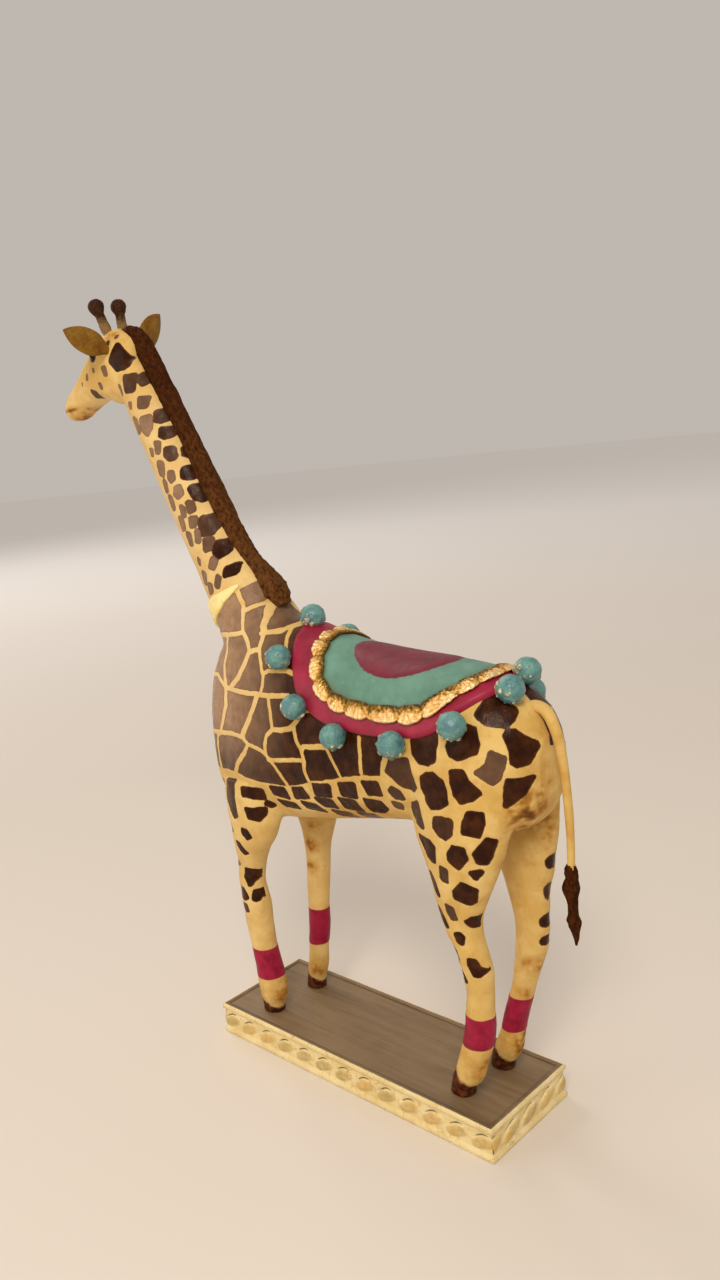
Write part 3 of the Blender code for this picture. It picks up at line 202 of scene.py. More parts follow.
# Separate patches: tone (0 dark brown, 1 pale tan) and corners
PATCHES = [
    # belly rows
    (0.0, [(-57, 162.5), (-42, 162.5), (-43, 157), (-57, 158)]),
    (0.0, [(-37, 166), (-24, 167), (-23, 160.5), (-36, 161.5)]),
    (0.0, [(-19, 168), (-10, 170), (-7, 164), (-20, 161.5)]),
    (0.0, [(-2, 173.5), (12, 175.5), (10, 168), (-3, 166.5)]),
    (0.0, [(17, 177.5), (30, 180), (28.5, 170.5), (17, 170)]),
    (0.0, [(34, 181.5), (46, 183), (46.5, 175.5), (36, 174)]),
    (0.1, [(50.5, 179.5), (54, 182.5), (60, 180.5), (61, 176), (53, 175)]),
    (0.0, [(-36, 157.5), (-21, 157.5), (-20, 154.5), (-33, 154)]),
    (0.0, [(-44, 156), (-38, 153.5), (-41, 151.5), (-45, 154)]),
    (0.0, [(-17, 160), (-5, 160), (-1, 155.5), (-15, 156)]),
    (0.0, [(-5, 165), (9, 165.5), (10, 160.5), (-1, 160)]),
    (0.0, [(13, 168), (26, 168.5), (27, 161.5), (14, 161.5)]),
    (0.0, [(31, 171), (44, 171.5), (45.5, 168), (40, 163), (31, 162)]),
    (0.2, [(50, 172.5), (58, 172.5), (56, 169), (50, 170)]),
    (0.1, [(2, 157.5), (15, 157.5), (16, 154), (4, 154)]),
    (0.1, [(19, 159), (32, 159.5), (33, 156), (20, 156)]),
    # chest foot and the top of the foreleg
    (0.1, [(-69, 165), (-62, 166), (-62, 144), (-66, 142), (-70, 152)]),
    (0.2, [(-86, 162), (-77, 160), (-73, 147), (-78, 145), (-84, 152)]),
    (0.1, [(-102, 162), (-91, 162), (-90, 148), (-100, 146)]),
    (0.0, [(-56, 151), (-43, 152), (-44, 148), (-48, 144), (-55, 145)]),
    (0.0, [(-80, 142), (-76, 139.5), (-71, 133), (-75, 132.5)]),
    (0.0, [(-62, 139), (-57, 138), (-55, 132.5), (-59, 131), (-62, 134)]),
    (0.0, [(-70, 129), (-67, 128.5), (-61.5, 121), (-64, 120), (-69.5, 126)]),
    (0.2, [(-79, 119), (-77, 119), (-72, 112), (-74, 111)]),
    (0.0, [(-68, 111.5), (-63, 110.5), (-64.5, 104), (-69, 98), (-71, 104)]),
    (0.0, [(-79, 98), (-73, 97.5), (-69.5, 91), (-73, 89.5), (-78, 91)]),
    (0.0, [(-66.5, 97), (-63.5, 97), (-65.5, 89.5), (-67.5, 89.5)]),
    (0.1, [(-78, 87), (-72, 87.5), (-71, 83), (-75, 81.5)]),
    # flank and haunch
    (0.1, [(55, 197), (68, 199.5), (69, 191.5), (71, 184), (68, 181.5), (59.5, 184.5), (51.5, 190)]),
    (0.0, [(69.5, 208), (72, 211), (85, 214.5), (85.5, 209), (84, 199), (80, 197), (74, 197), (71, 201)]),
    (0.0, [(90, 211), (99, 218), (105, 217), (107, 210), (106.5, 205.5), (95.5, 201.5), (91.5, 203),
           (89.5, 207)]),
    (0.0, [(101, 222), (105, 227), (112, 229), (120, 228), (131.5, 222), (122, 216), (109, 217.5)]),
    (0.0, [(118, 214), (120, 216), (125, 215.5), (130, 211.5), (135, 205), (132, 199), (125, 198.5),
           (122, 200), (121, 206)]),
    (0.25, [(112, 207.5), (120, 204.5), (119, 199.5), (115.5, 193), (112, 190.5), (103, 196),
            (109.5, 200.5)]),
    (0.0, [(91.5, 197.5), (98, 198.5), (101, 192.5), (107, 186.5), (102, 183), (96, 181),
           (92.5, 184.5), (91, 191)]),
    (0.0, [(74.5, 191.5), (78, 194), (82.5, 195), (88, 191.5), (90, 180), (84, 176.5), (79, 175.5),
           (75.5, 178.5), (74, 185)]),
    (0.1, [(63.5, 175.5), (69, 178), (71, 172), (73, 164), (70, 164), (62, 167), (62, 172)]),
    (0.05, [(79.5, 172.5), (85, 174), (92, 173.5), (91, 166.5), (86.5, 162), (83, 163), (79, 167)]),
    (0.0, [(99, 178.5), (107, 178.5), (107, 173.5), (103.5, 165.5), (95, 166.5), (96.5, 173.5)]),
    (0.0, [(119, 194), (134, 194), (128, 186.5), (115.5, 179.5), (116.5, 186)]),
    (0.0, [(66, 160.5), (76, 160), (79.5, 157.5), (78, 148), (73, 149.5), (69, 156)]),
    (0.0, [(86, 155.5), (90, 161), (96.5, 160.5), (97.5, 155), (91.5, 148), (86, 152)]),
    (0.0, [(107.5, 167), (110, 166), (106.5, 156.5), (104, 152), (100.5, 152), (99.5, 157)]),
    (0.1, [(81, 149), (85, 148), (84, 140), (80, 140.5)]),
    (0.0, [(95.5, 148), (103, 150), (101, 147), (98, 143.5)]),
    (0.0, [(86, 136), (92, 143), (98.5, 139.5), (96, 131), (93, 129.5), (85.5, 133)]),
    (0.0, [(71, 144), (75, 138), (77, 130), (75, 130), (71, 137)]),
    (0.15, [(80, 129), (84, 128), (85.5, 120), (83, 119.5), (80.5, 124)]),
    (0.0, [(88, 120.5), (91.5, 123), (96, 122), (95.5, 118), (93.5, 115), (90, 117)]),
    (0.0, [(82, 113.5), (85.5, 114.5), (87.5, 111.5), (86, 106.5), (83.5, 108)]),
    (0.0, [(73, 126), (76, 121), (79, 114), (77, 113), (74, 119)]),
    (0.0, [(76, 109), (81, 103), (82.5, 97.5), (81, 97), (77, 103)]),
    (0.0, [(88, 102), (90.5, 101.5), (92.5, 97), (96, 93.5), (93, 91), (91, 91), (90, 94), (88, 98.5)]),
    (0.0, [(80, 95), (84, 91), (86.5, 86.5), (84, 86), (80, 90)]),
    # neck, from the mane side to the throat in each row
    (0.0, [(-62, 284), (-61, 279), (-70, 276.5), (-70, 281)]),
    (0.3, [(-74, 279), (-71, 277), (-72, 270), (-75, 271)]),
    (0.5, [(-88, 280), (-84, 279), (-84, 271), (-87, 272)]),
    (0.45, [(-82, 274), (-78, 273), (-77, 268), (-82, 266)]),
    (0.45, [(-79, 288), (-74.5, 286), (-76, 280), (-81, 281)]),
    (0.5, [(-91, 288), (-88.5, 286), (-88, 282), (-90.5, 283)]),
    (0.0, [(-79, 296), (-72, 297), (-69, 289), (-74, 286), (-78, 289)]),
    (0.25, [(-85, 298), (-79.5, 298), (-79, 291), (-84, 289.5)]),
    (0.5, [(-90.5, 303), (-87.5, 303), (-87.5, 294), (-90, 295)]),
    (0.5, [(-99, 302), (-95.5, 301), (-93.5, 293), (-96, 293)]),
    (0.1, [(-89, 310), (-82, 311), (-79, 302), (-80, 299), (-88, 299)]),
    (0.4, [(-95.5, 310), (-90, 310), (-90.5, 303.5), (-94.5, 303)]),
    (0.6, [(-104, 311), (-101, 310), (-99.5, 302), (-102, 301)]),
    (0.3, [(-98, 319), (-94, 318), (-91.5, 312), (-95, 311)]),
    (0.45, [(-102, 317), (-99.5, 316), (-97.5, 309), (-100, 309)]),
    (0.6, [(-112, 323), (-109.5, 321), (-106.5, 313), (-109, 313)]),
    (0.0, [(-98, 327), (-92, 328), (-86.5, 320), (-87.5, 317), (-93, 319)]),
    (0.65, [(-106, 327), (-101.5, 328), (-99, 322), (-103, 319), (-107, 322)]),
    (0.55, [(-115, 332), (-113, 330), (-111.5, 323), (-114, 323)]),
    (0.0, [(-103, 337), (-96, 338), (-92.5, 332), (-96, 329.5), (-102, 331)]),
    (0.5, [(-110, 336), (-106.5, 336), (-105, 330), (-108, 328), (-110.5, 331)]),
    (0.6, [(-118, 342), (-113.5, 341), (-113.5, 332), (-117, 332.5)]),
    (0.0, [(-105, 350), (-100.5, 350), (-97, 343), (-99, 341), (-103, 343)]),
    (0.15, [(-113, 349), (-107.5, 349), (-105, 341), (-108, 340.5), (-112.5, 344)]),
    (0.5, [(-118.5, 353), (-116, 353), (-116, 344.5), (-118, 345)]),
    (0.6, [(-124, 349), (-121.5, 349), (-120.5, 344), (-123, 344)]),
    (0.05, [(-117, 360), (-111, 360), (-108, 354), (-113, 353), (-116.5, 355)]),
    (0.6, [(-130, 367), (-122, 368), (-121, 359), (-124, 355), (-129, 359)]),
    (0.6, [(-137, 368), (-134, 366), (-131, 357), (-134, 357)]),
    (0.1, [(-121, 370), (-114, 370.5), (-112.5, 364), (-116, 362), (-120.5, 363)]),
    (0.3, [(-131, 378), (-124.5, 378), (-124.5, 371.5), (-131, 371)]),
    (0.0, [(-123, 382), (-116, 382), (-114, 377), (-119, 375)]),
    (0.6, [(-139.5, 376), (-136.5, 376), (-136.5, 371.5), (-139.5, 371.5)]),
    (0.1, [(-142.5, 391), (-134, 391.5), (-133.5, 381), (-140.5, 380.5)]),
    (0.1, [(-132.5, 392), (-129, 392), (-126, 385.5), (-129, 383), (-132, 386)]),
    (0.45, [(-149, 387), (-147, 386), (-144.5, 379.5), (-147, 380)]),
    # face
    (0.0, [(-146, 411), (-137, 399.5), (-138, 396.5), (-141, 394.5), (-149, 394.5), (-153.5, 400)]),
    (0.4, [(-161.5, 398), (-156.5, 398), (-156.5, 392), (-160, 392)]),
    (0.4, [(-168.5, 389.5), (-165.5, 389), (-164.5, 385), (-167.5, 385)]),
    (0.5, [(-181, 395.5), (-178, 395.5), (-178, 391.5), (-181, 391.5)]),
    (0.15, [(-180, 386.5), (-174, 384.5), (-172.5, 380.5), (-178, 381)]),
    (0.5, [(-171, 398), (-169, 398), (-169.5, 395), (-171, 395)]),
    (0.3, [(-149, 414), (-146.5, 414), (-146.5, 412), (-149, 412)]),
    (0.1, [(-155, 411.5), (-152, 411.5), (-152, 409), (-155, 409)]),
    (0.5, [(-188, 391), (-186.5, 391), (-186.5, 389), (-188, 389)]),
]
# Pale patches that run up the throat: x, z, half width, half height
THROAT_TONE, THROAT_TILT, THROAT_SQUARENESS = 0.45, 0.25, 2.6
THROAT_FACING, THROAT_LOW, THROAT_BEFORE = -0.45, 266.0, -80.0
THROAT_SPOTS = [
    (-5.0, 277, 4.0, 4.0), (5.4, 279, 3.6, 3.6), (-1.0, 286, 3.6, 3.8), (7.0, 289, 3.2, 4.2),
    (-6.6, 293, 3.4, 4.0), (1.6, 297, 3.8, 4.2), (-6.0, 304, 2.8, 4.2), (6.4, 306, 3.4, 4.0),
    (-0.6, 309, 3.4, 3.6), (5.6, 316.5, 3.2, 4.0), (-5.4, 317, 3.6, 4.4), (0.6, 323, 3.2, 3.8),
    (-5.4, 329, 3.0, 4.0), (5.0, 331, 3.4, 4.2), (-0.8, 336, 3.2, 3.8), (5.0, 343, 3.0, 4.0),
    (-4.6, 345, 3.2, 4.0), (1.0, 352, 3.2, 3.8), (-4.2, 359, 2.8, 3.8), (3.8, 363, 3.0, 3.8),
]
# The dark field is painted paler on the chest as a painted sheen: tone there, the y where that starts and
# where it is full, and the same for its fading towards the legs
CHEST_SHEEN_TONE = 0.88
CHEST_SHEEN_Y = (-14.0, -66.0)
CHEST_SHEEN_Z = (165.0, 200.0)
CHEST_SHEEN_LEAST = 0.25
NECK_WEAR, NECK_WEAR_RISE, NECK_WEAR_TOP, NECK_WEAR_FADE = 0.5, 12.0, 392.0, 20.0
NECK_Z = 262.0               # patches above this are the neck's
MOST_ROUNDING = 0.45         # of the patch's own size
PATCH_ROUNDING = 1.6
NECK_ROUNDING = 2.8
PATCH_REACH = 6.0            # a patch changes nothing farther off than this
# The patch that only the right side has, beside the root of the tail
RIGHT_PATCH = [(118, 230), (130, 229.5), (146, 224), (146, 206), (138, 202), (132, 213), (121, 222)]
LEG_Z, FORELEG_Z, HIND_Y = 172.0, 140.0, 60.0   # the legs' inner faces below and behind these stay cream
INNER_EDGE, INNER_SLOPE = 0.12, 9.0
SUNK_BODY, SUNK_NECK, SUNK_NECK_Z = 0.32, 0.15, 300.0   # patches lie this far below the cream
FACET_HEIGHT, BAND_HEIGHT = 0.16, 0.22
# Patches on the outer and rear edges of the right hind leg: y, z, half width, half height
FAR_LEG_SPOTS = [
    (111.5, 138, 3.4, 4.8), (108.5, 120.5, 3.2, 7.0), (106.5, 107, 3.4, 4.0), (105.0, 96.5, 2.4, 3.0),
]
# Leg bands: lowest and highest z
BANDS = {
    ("front", "left"): (41.5, 59.0), ("front", "right"): (49.0, 72.0),
    ("rear", "left"): (50.5, 68.0), ("rear", "right"): (43.0, 62.5),
}
HOOF_TOP = {
    ("front", "left"): 25.0, ("front", "right"): 26.5, ("rear", "left"): 30.0, ("rear", "right"): 28.0,
}
BANDS_BELOW, LEG_WOBBLE = 120.0, 0.5
HOOF_SLOPE = 0.55            # the hoof paint climbs towards the toe
# Brown stains, and painted shade under the tail, under the belly, between the legs and under the muzzle: x,
# y, z, radius, strength
STAINS_AND_SHADE = [
    (12, 118, 178, 11, 0.9), (8, 112, 166, 9, 0.7), (-12, 112, 160, 12, 0.6), (6, 122, 190, 8, 0.5),
    (20, 108, 168, 4, 0.8), (14, 110, 150, 7, 0.5), (12, -60, 148, 9, 0.35), (0, 30, 152, 30, 0.5),
    (12, 60, 158, 11, 0.7), (-13, -50, 126, 5, 0.7), (-12, -54, 140, 7, 0.6), (-12, -54, 114, 5, 0.7),
    (-12, -56, 100, 5, 0.6), (0, 132, 190, 7, 0.4), (0, 132, 165, 6, 0.4), (8, -153, 413, 7, 0.55),
    (-8, -153, 413, 7, 0.55), (18, -68, 66, 6, 0.35),
    (16, 86, 36, 10, 0.55), (18, 70, 34, 7, 0.5), (-14, 86, 36, 9, 0.75), (16, -60, 32, 9, 0.6),
    (22, -70, 32, 6, 0.45), (-15, 96, 84, 6, 0.8), (-12, -60, 32, 8, 0.5), (-12, 92, 66, 5, 0.6),
    (-17, 96, 100, 7, 0.35), (0, -206, 374, 9, 0.8), (0, -196, 372, 9, 0.6), (0, -160, 412, 9, 0.5),
    (12, -177, 378, 5, 0.5), (0, 118, 205, 5, 0.6), (0, -84, 268, 5, 0.3), (0, -212, 384, 6, 0.35),
]

# ---------------------------------------------------------------- dressing
SADDLE_CENTRE_Y = 48.0
# y and degrees down from the ridge, front to rear
SADDLE_HEM = [
    (-21.5, 0), (-19.5, 22), (-14, 44), (-6, 62), (10, 73), (34, 77),
    (58, 76.5), (80, 71), (96, 48), (105, 25), (108.5, 0),
]
SADDLE_THICKNESS = 2.1
SADDLE_COUNT, SADDLE_RINGS = 220, 56   # points round the hem and rings from the middle
HEM_ROLL = 0.045             # share of the radius over which the hem rounds off
SADDLE_UNDER = -2.5          # the shell's underside lies this far below the skin
SEAT_RISE, SEAT_EDGE, SADDLE_WAVE = 0.5, 3.0, 0.15
SEAT_CENTRE_Y, SEAT_LENGTH, SEAT_WIDTH = 46.0, 30.5, 20.8   # oval of the seat, half sizes
BRAID_SCALE = 0.80
BRAID_REAR_SCALE = 0.84
BRAID_FRONT_SCALE = 0.72
BRAID_HALF_WIDTH = 4.0
BRAID_RUFFLES = 22
BRAID_STEPS, BRAID_COLUMNS = 28, 17    # points along one shell and across the braid
BRAID_MIDDLE_Z = 236.0
BRAID_STRAY, BRAID_SWING = 0.35, 0.12
BRAID_CRUMPLE, BRAID_LEAST = 0.60, 0.3
BRAID_FOOT, BRAID_SUNK = (0.6, 0.0, -0.6), 0.5   # the underside's points, and how deep they lie
BEAD_RADIUS = 7.0
BEAD_HEIGHT = 5.2
GRIT_SPOTS, GRIT_SMALLEST, GRIT_LARGEST = 46, 0.10, 0.24
BEAD_CORE, GRIT_HEIGHT, BEAD_ROUGHNESS = 0.5, 0.95, 0.22
BEADS_ONE_SIDE = [(-20.5, 42.0), (-4.0, 67.0), (24.0, 79.0), (62.0, 79.0), (95.0, 61.0)]
FRONT_BEAD = (-20.0, 0.0)
REAR_BEADS = {"left": (110.5, 17.0), "right": (106.0, 16.5)}

# share from the poll (0) to the withers (1), half width, height of its sides
MANE = [
    (0.0, 3.2, 2.5), (0.12, 3.7, 4.2), (0.45, 4.0, 5.8),
    (0.78, 5.6, 7.4), (0.93, 7.2, 7.6), (1.0, 4.6, 5.0),
]
MANE_CREST = [
    (-151, 417.5), (-143, 418.5), (-134.5, 415), (-126.4, 405.6), (-111.2, 379.5), (-96, 352.6),
    (-81.4, 326.7), (-67, 300.6), (-57.5, 287), (-46, 278), (-38.8, 270), (-36.5, 261),
]
MANE_DEPTH = 5.0
MANE_COLUMNS, MANE_WRAP = 26, 1.16     # points across and how far it wraps past a half turn
EAR_BASE = (11.0, -153.0, 405.8)
EAR_TIPS = {"left": (33.5, -161.5, 419.0), "right": (33.0, -158.5, 427.0)}
# share of the length, half width, half thickness
EAR_PROFILE = [
    (-0.14, 2.0, 2.0), (0.03, 2.6, 2.4), (0.14, 4.6, 2.0), (0.30, 7.2, 1.5), (0.50, 7.7, 1.3),
    (0.70, 6.5, 1.2), (0.87, 3.8, 1.0), (1.0, 0.5, 0.5),
]
EAR_FACING = (0.5, 0.8, 0.3)
EAR_CUP, EAR_SET, EAR_SIDES = 1.7, 0.6, 36
HORN_BASE = (5.6, -160.0, 417.0)
HORN_TIP = (8.0, -165.0, 433.5)
# height along the horn, radius
HORN_PROFILE = [
    (-5.0, 2.0), (0.0, 2.7), (3.0, 3.0), (7.0, 2.7), (10.5, 2.7), (12.5, 3.6), (15.0, 4.4), (17.5, 4.2),
    (19.3, 2.9), (20.1, 0.6),
]
HORN_BRISTLE, HORN_SIDES = 0.5, 28
# y, z, radius
TAIL_PATH = [
    (106, 212, 2.2), (113, 219, 2.6), (119, 221.5, 2.8), (125, 218.5, 2.8), (129, 209, 2.5),
    (131.3, 195, 2.2), (132.5, 177, 2), (132.6, 160, 1.8), (132, 146, 1.7),
]
TUFT_PATH = [
    (132, 149, 1.8), (132, 144.5, 2.7), (131.3, 137, 2.9), (131.8, 128, 2.3), (131.6, 121, 2.7),
    (132.6, 115, 1.6), (132.3, 109.5, 0.5),
]
COLLAR_REACH = 140.0
COLLAR_FRONT_HALF = 8.0
COLLAR_END_HALF = 0.9
COLLAR_THICKNESS = 2.2
COLLAR_STEPS = 130
COLLAR_SIGHT = 60.0          # rays to the skin start this far out
# place across the band, share of its thickness (negative for the buried foot)
COLLAR_OUTLINE = [
    (-1.0, -2.5), (-1.0, 0.4), (-0.93, 0.8), (-0.75, 1.0), (-0.35, 1.08), (0.0, 1.02), (0.4, 0.98),
    (0.78, 0.92), (0.95, 0.7), (1.0, 0.3), (1.0, -2.5),
]
TAIL_GRAIN, TUFT_GRAIN = 0.10, 0.55

# ---------------------------------------------------------------- plinth
PLINTH_LENGTH = 200.0
PLINTH_WIDTH = 64.6
PLINTH_HEIGHT = 18.4
BOARD_HEIGHT = 18.0
MOULDING_THICKNESS = 3.3
FIELD_DEPTH = 1.2
LEAF_HEIGHT = 1.2
CUT_DEPTH = 0.8              # of the cuts above the leaves, as a share of the leaf height
RAIL_LEVEL = 0.05           # relief value that the rails carry for their paint
TOP_RAIL = 3.0
BOTTOM_RAIL = 3.0
MOULDING_STEP = 0.55         # spacing of the moulding's sections
MOULDING_WEAR = 0.10
BOARD_GAP = 0.1              # clearance between the board and its mouldings
BOARD_COLUMNS, BOARD_ROWS = 44, 140
BOARD_SINK = 0.05
LEAF_PITCH = 15.5            # length of one leaf of the carved band

# ---------------------------------------------------------------- camera and light
CAMERA_PLACE = (0.3764, 0.3810, 0.3530)
CAMERA_TURN = (78.239, 5.591, 133.087)
CAMERA_LENS = 29.76
CAMERA_SENSOR = 36.0


# ================================================================ numbers and shapes
def interpolate(table, places):
    """Columns of a table at places along its first column, linear between rows."""
    rows = np.array(sorted(table), float)
    return [np.interp(places, rows[:, 0], rows[:, column]) for column in range(1, rows.shape[1])]


def refine(rows, steps=STEPS_BETWEEN):
    """Catmull-Rom curve through the rows of a table, with rows added between them."""
    rows = np.array(rows, float)
    padded = np.vstack([2 * rows[0] - rows[1], rows, 2 * rows[-1] - rows[-2]])
    out = []
    for index in range(len(rows) - 1):
        a, b, c, d = padded[index:index + 4]
        for t in np.arange(steps) / steps:
            out.append(0.5 * (2 * b + (c - a) * t + (2 * a - 5 * b + 4 * c - d) * t ** 2
                              + (3 * b - a - 3 * c + d) * t ** 3))
    out.append(rows[-1])
    return np.array(out)


def signed_power(value, exponent):
    return np.sign(value) * np.abs(value) ** exponent


def upright_ring(y, half_width, top, bottom, middle, squareness):
    """Egg-shaped ring in a plane of constant y, widest at the height called middle."""
    angle = np.linspace(0.0, 2.0 * np.pi, RING_SIDES, endpoint=False)
    across = signed_power(np.sin(angle), 2.0 / squareness)
    upward = signed_power(np.cos(angle), 2.0 / squareness)
    reach = np.where(upward > 0.0, top - middle, middle - bottom)
    return np.stack([across * half_width, np.full_like(angle, y), middle + upward * reach], 1)


def along_ring(centre, direction, half_width, half_depth, sides=RING_SIDES):
    """Oval ring across a direction that lies in the y-z plane."""
    direction = np.array(direction) / np.linalg.norm(direction)
    across = np.array([1.0, 0.0, 0.0])
    depth = np.cross(direction, across)
    angle = np.linspace(0.0, 2.0 * np.pi, sides, endpoint=False)[:, None]
    return np.array(centre) + across * np.sin(angle) * half_width + depth * np.cos(angle) * half_depth


def path_directions(points):
    """Direction of travel at each point of a path, from its neighbours."""
    ahead = np.vstack([points[1:], points[-1:]])
    behind = np.vstack([points[:1], points[:-1]])
    travel = ahead - behind
    return travel / np.linalg.norm(travel, axis=1)[:, None]


def loft_mesh(bm, rings, closed=False):
    """Skin rings of equal length into a bmesh, with end caps unless the loop of rings is closed."""
    rows = [[bm.verts.new(point) for point in ring] for ring in rings]
    count = len(rows[0])
    pairs = list(zip(rows, rows[1:]))
    if closed:
        pairs.append((rows[-1], rows[0]))
    for lower, upper in pairs:
        for index in range(count):
            after = (index + 1) % count
            bm.faces.new((lower[index], lower[after], upper[after], upper[index]))
    if not closed:
        bm.faces.new(rows[0])
        bm.faces.new(rows[-1])


def noise_at(points, scale, seed=0.0):
    """Smooth noise from about -1 to 1 at each point, with features of the given size in mm."""
    shift = Vector((seed * 37.1, seed * 17.7, seed * 5.3))
    return np.array([noise.noise(Vector(point) / scale + shift) for point in points])


def mesh_points(mesh):
    values = np.empty(len(mesh.vertices) * 3, np.float32)
    mesh.vertices.foreach_get("co", values)
    return values.reshape(-1, 3).astype(float)


def mesh_normals(mesh):
    values = np.empty(len(mesh.vertices) * 3, np.float32)
    mesh.vertices.foreach_get("normal", values)
    return values.reshape(-1, 3).astype(float)


def set_points(mesh, points):
    mesh.vertices.foreach_set("co", points.astype(np.float32).ravel())
    mesh.update()


def store(mesh, name, values):
    """Keep one number for each vertex under a name that materials can read."""
    layer = mesh.attributes.new(name, "FLOAT", "POINT")
    layer.data.foreach_set("value", np.asarray(values, np.float32))


def make_object(name, bm, replaced=(), paint=None, recalc=True):
    """Turn a bmesh in millimetres into a piece that rides on the root body."""
    if recalc:
        bmesh.ops.recalc_face_normals(bm, faces=bm.faces)
    mesh = bpy.data.meshes.new(name)
    bm.to_mesh(mesh)
    bm.free()
    return finish_piece(name, mesh, replaced, paint)


def finish_piece(name, mesh, replaced, paint):
    """Scale a mesh to metres and hand it to the frame."""
    mesh.transform(Matrix.Scale(MM, 4))
    mesh.shade_smooth()
    piece = bpy.data.objects.new(name, mesh)
    bpy.context.scene.collection.objects.link(piece)
    if paint:
        mesh.materials.append(paint)
    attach(piece, "root")
    if replaced:
        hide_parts(*replaced)
    return piece


# ================================================================ the carved skin
def animal_rings():
    """Every loft of the carved animal: body, neck, head and legs."""
    body = [upright_ring(*row, BODY_SQUARENESS) for row in refine(BODY)]
    rows = refine(NECK)
    centres = np.stack([np.zeros(len(rows)), rows[:, 0], rows[:, 1]], 1)
    neck = [along_ring(centre, direction, row[2], row[3])
            for centre, direction, row in zip(centres, path_directions(centres), rows)]
    head = [upright_ring(*row, HEAD_SQUARENESS) for row in refine(HEAD)]
    lofts = [body, neck, head]
    for (_, side), stations in LEGS.items():
        rows = refine(stations)
        lofts.append([along_ring((x * SIDES[side], y, z), (0.0, 0.0, 1.0), wide, deep)
                      for z, x, y, wide, deep in rows])
    return lofts


def add_ellipsoid(bm, centre, radii):
    made = bmesh.ops.create_uvsphere(bm, u_segments=24, v_segments=16, radius=1.0)
    matrix = Matrix.Translation(centre) @ Matrix.Diagonal((*radii, 1.0))
    bmesh.ops.transform(bm, matrix=matrix, verts=made["verts"])


def remeshed(lofts, voxel):
    """One closed skin over overlapping lofts."""
    bm = bmesh.new()
    for rings in lofts:
        loft_mesh(bm, rings)
    for sign in SIDES.values():
        for (x, y, z), radii in ((EYE, (EYE_RADIUS,) * 3), (BROW, BROW_RADII)):
            add_ellipsoid(bm, (x * sign, y, z), radii)
    bmesh.ops.recalc_face_normals(bm, faces=bm.faces)
    mesh = bpy.data.meshes.new("skin_blank")
    bm.to_mesh(mesh)
    bm.free()
    blank = bpy.data.objects.new("skin_blank", mesh)
    bpy.context.scene.collection.objects.link(blank)
    modifier = blank.modifiers.new("voxels", "REMESH")
    modifier.mode = "VOXEL"
    modifier.voxel_size = voxel
    graph = bpy.context.evaluated_depsgraph_get()
    skin = bpy.data.meshes.new_from_object(blank.evaluated_get(graph))
    bpy.data.objects.remove(blank)
    return skin


def neighbour_mean(mesh):
    """A function that gives the mean place of each vertex's neighbours."""
    edges = np.empty(len(mesh.edges) * 2, np.int32)
    mesh.edges.foreach_get("vertices", edges)
    first, second = edges.reshape(-1, 2).T
    count = len(mesh.vertices)
    neighbours = np.bincount(first, minlength=count) + np.bincount(second, minlength=count)

    def mean(points):
        sums = [np.bincount(first, points[second, axis], count)
                + np.bincount(second, points[first, axis], count)
                for axis in range(3)]
        return np.stack(sums, 1) / neighbours[:, None]

    return mean


def smooth(mesh, rounds):
    """Relax the skin without shrinking it, by a step in and a step out in turn."""
    points, mean = mesh_points(mesh), neighbour_mean(mesh)
    for _ in range(rounds):
        for factor in (RELAX_IN, RELAX_OUT):
            points += factor * (mean(points) - points)
    set_points(mesh, points)


def soften(mesh, rounds, strength):
    """Plain smoothing that fills creases where strength is high."""
    points, mean = mesh_points(mesh), neighbour_mean(mesh)
    for _ in range(rounds):
        points += SOFTEN_STEP * strength[:, None] * (mean(points) - points)
    set_points(mesh, points)


def bump_at(points, centre, radius):
    """Round weight, 1 at the centre and 0 from about twice the radius."""
    distance = np.linalg.norm(points - np.array(centre), axis=1)
    return np.exp(-(distance / radius) ** 2)


def groove_along(points, path, width):
    """Weight near a path of points."""
    corners = np.array(path, float)
    best = np.full(len(points), FAR)
    for start, end in zip(corners, corners[1:]):
        best = np.minimum(best, segment_distance(points, start, end))
    return np.exp(-(best / width) ** 2)


def segment_distance(points, start, end):
    """Distance from each point to one straight segment, in two or three dimensions."""
    along = end - start
    share = np.clip(((points - start) @ along) / (along @ along), 0.0, 1.0)
    return np.linalg.norm(points - (start + share[:, None] * along), axis=1)


def on_left(points):
    """The points with the right side folded onto the left, for shapes that both sides have."""
    folded = points.copy()
    folded[:, 0] = np.abs(folded[:, 0])
    return folded


def carve(mesh):
    """Fill the seams where limbs join, then carve the small forms of face, legs and rump."""
    places = on_left(mesh_points(mesh))
    strength = np.max([bump_at(places, centre, radius) for centre, radius in FILLETS], axis=0)
    soften(mesh, SEAM_ROUNDS, strength)
    smooth(mesh, LAST_ROUNDS)
    points, normals = mesh_points(mesh), mesh_normals(mesh)
    places = on_left(points)
    push = sum(height * noise_at(points, size, seed) for height, size, seed in UNEVENNESS)
    push *= np.where(points[:, 2] > FACE_Z, FACE_UNEVENNESS, 1.0)
    for depth, width, path in CREASES:
        push -= depth * groove_along(places, path, width)
    for height, radius, centre in SWELLS:
        push += height * bump_at(places, centre, radius)
    set_points(mesh, points + normals * push[:, None])


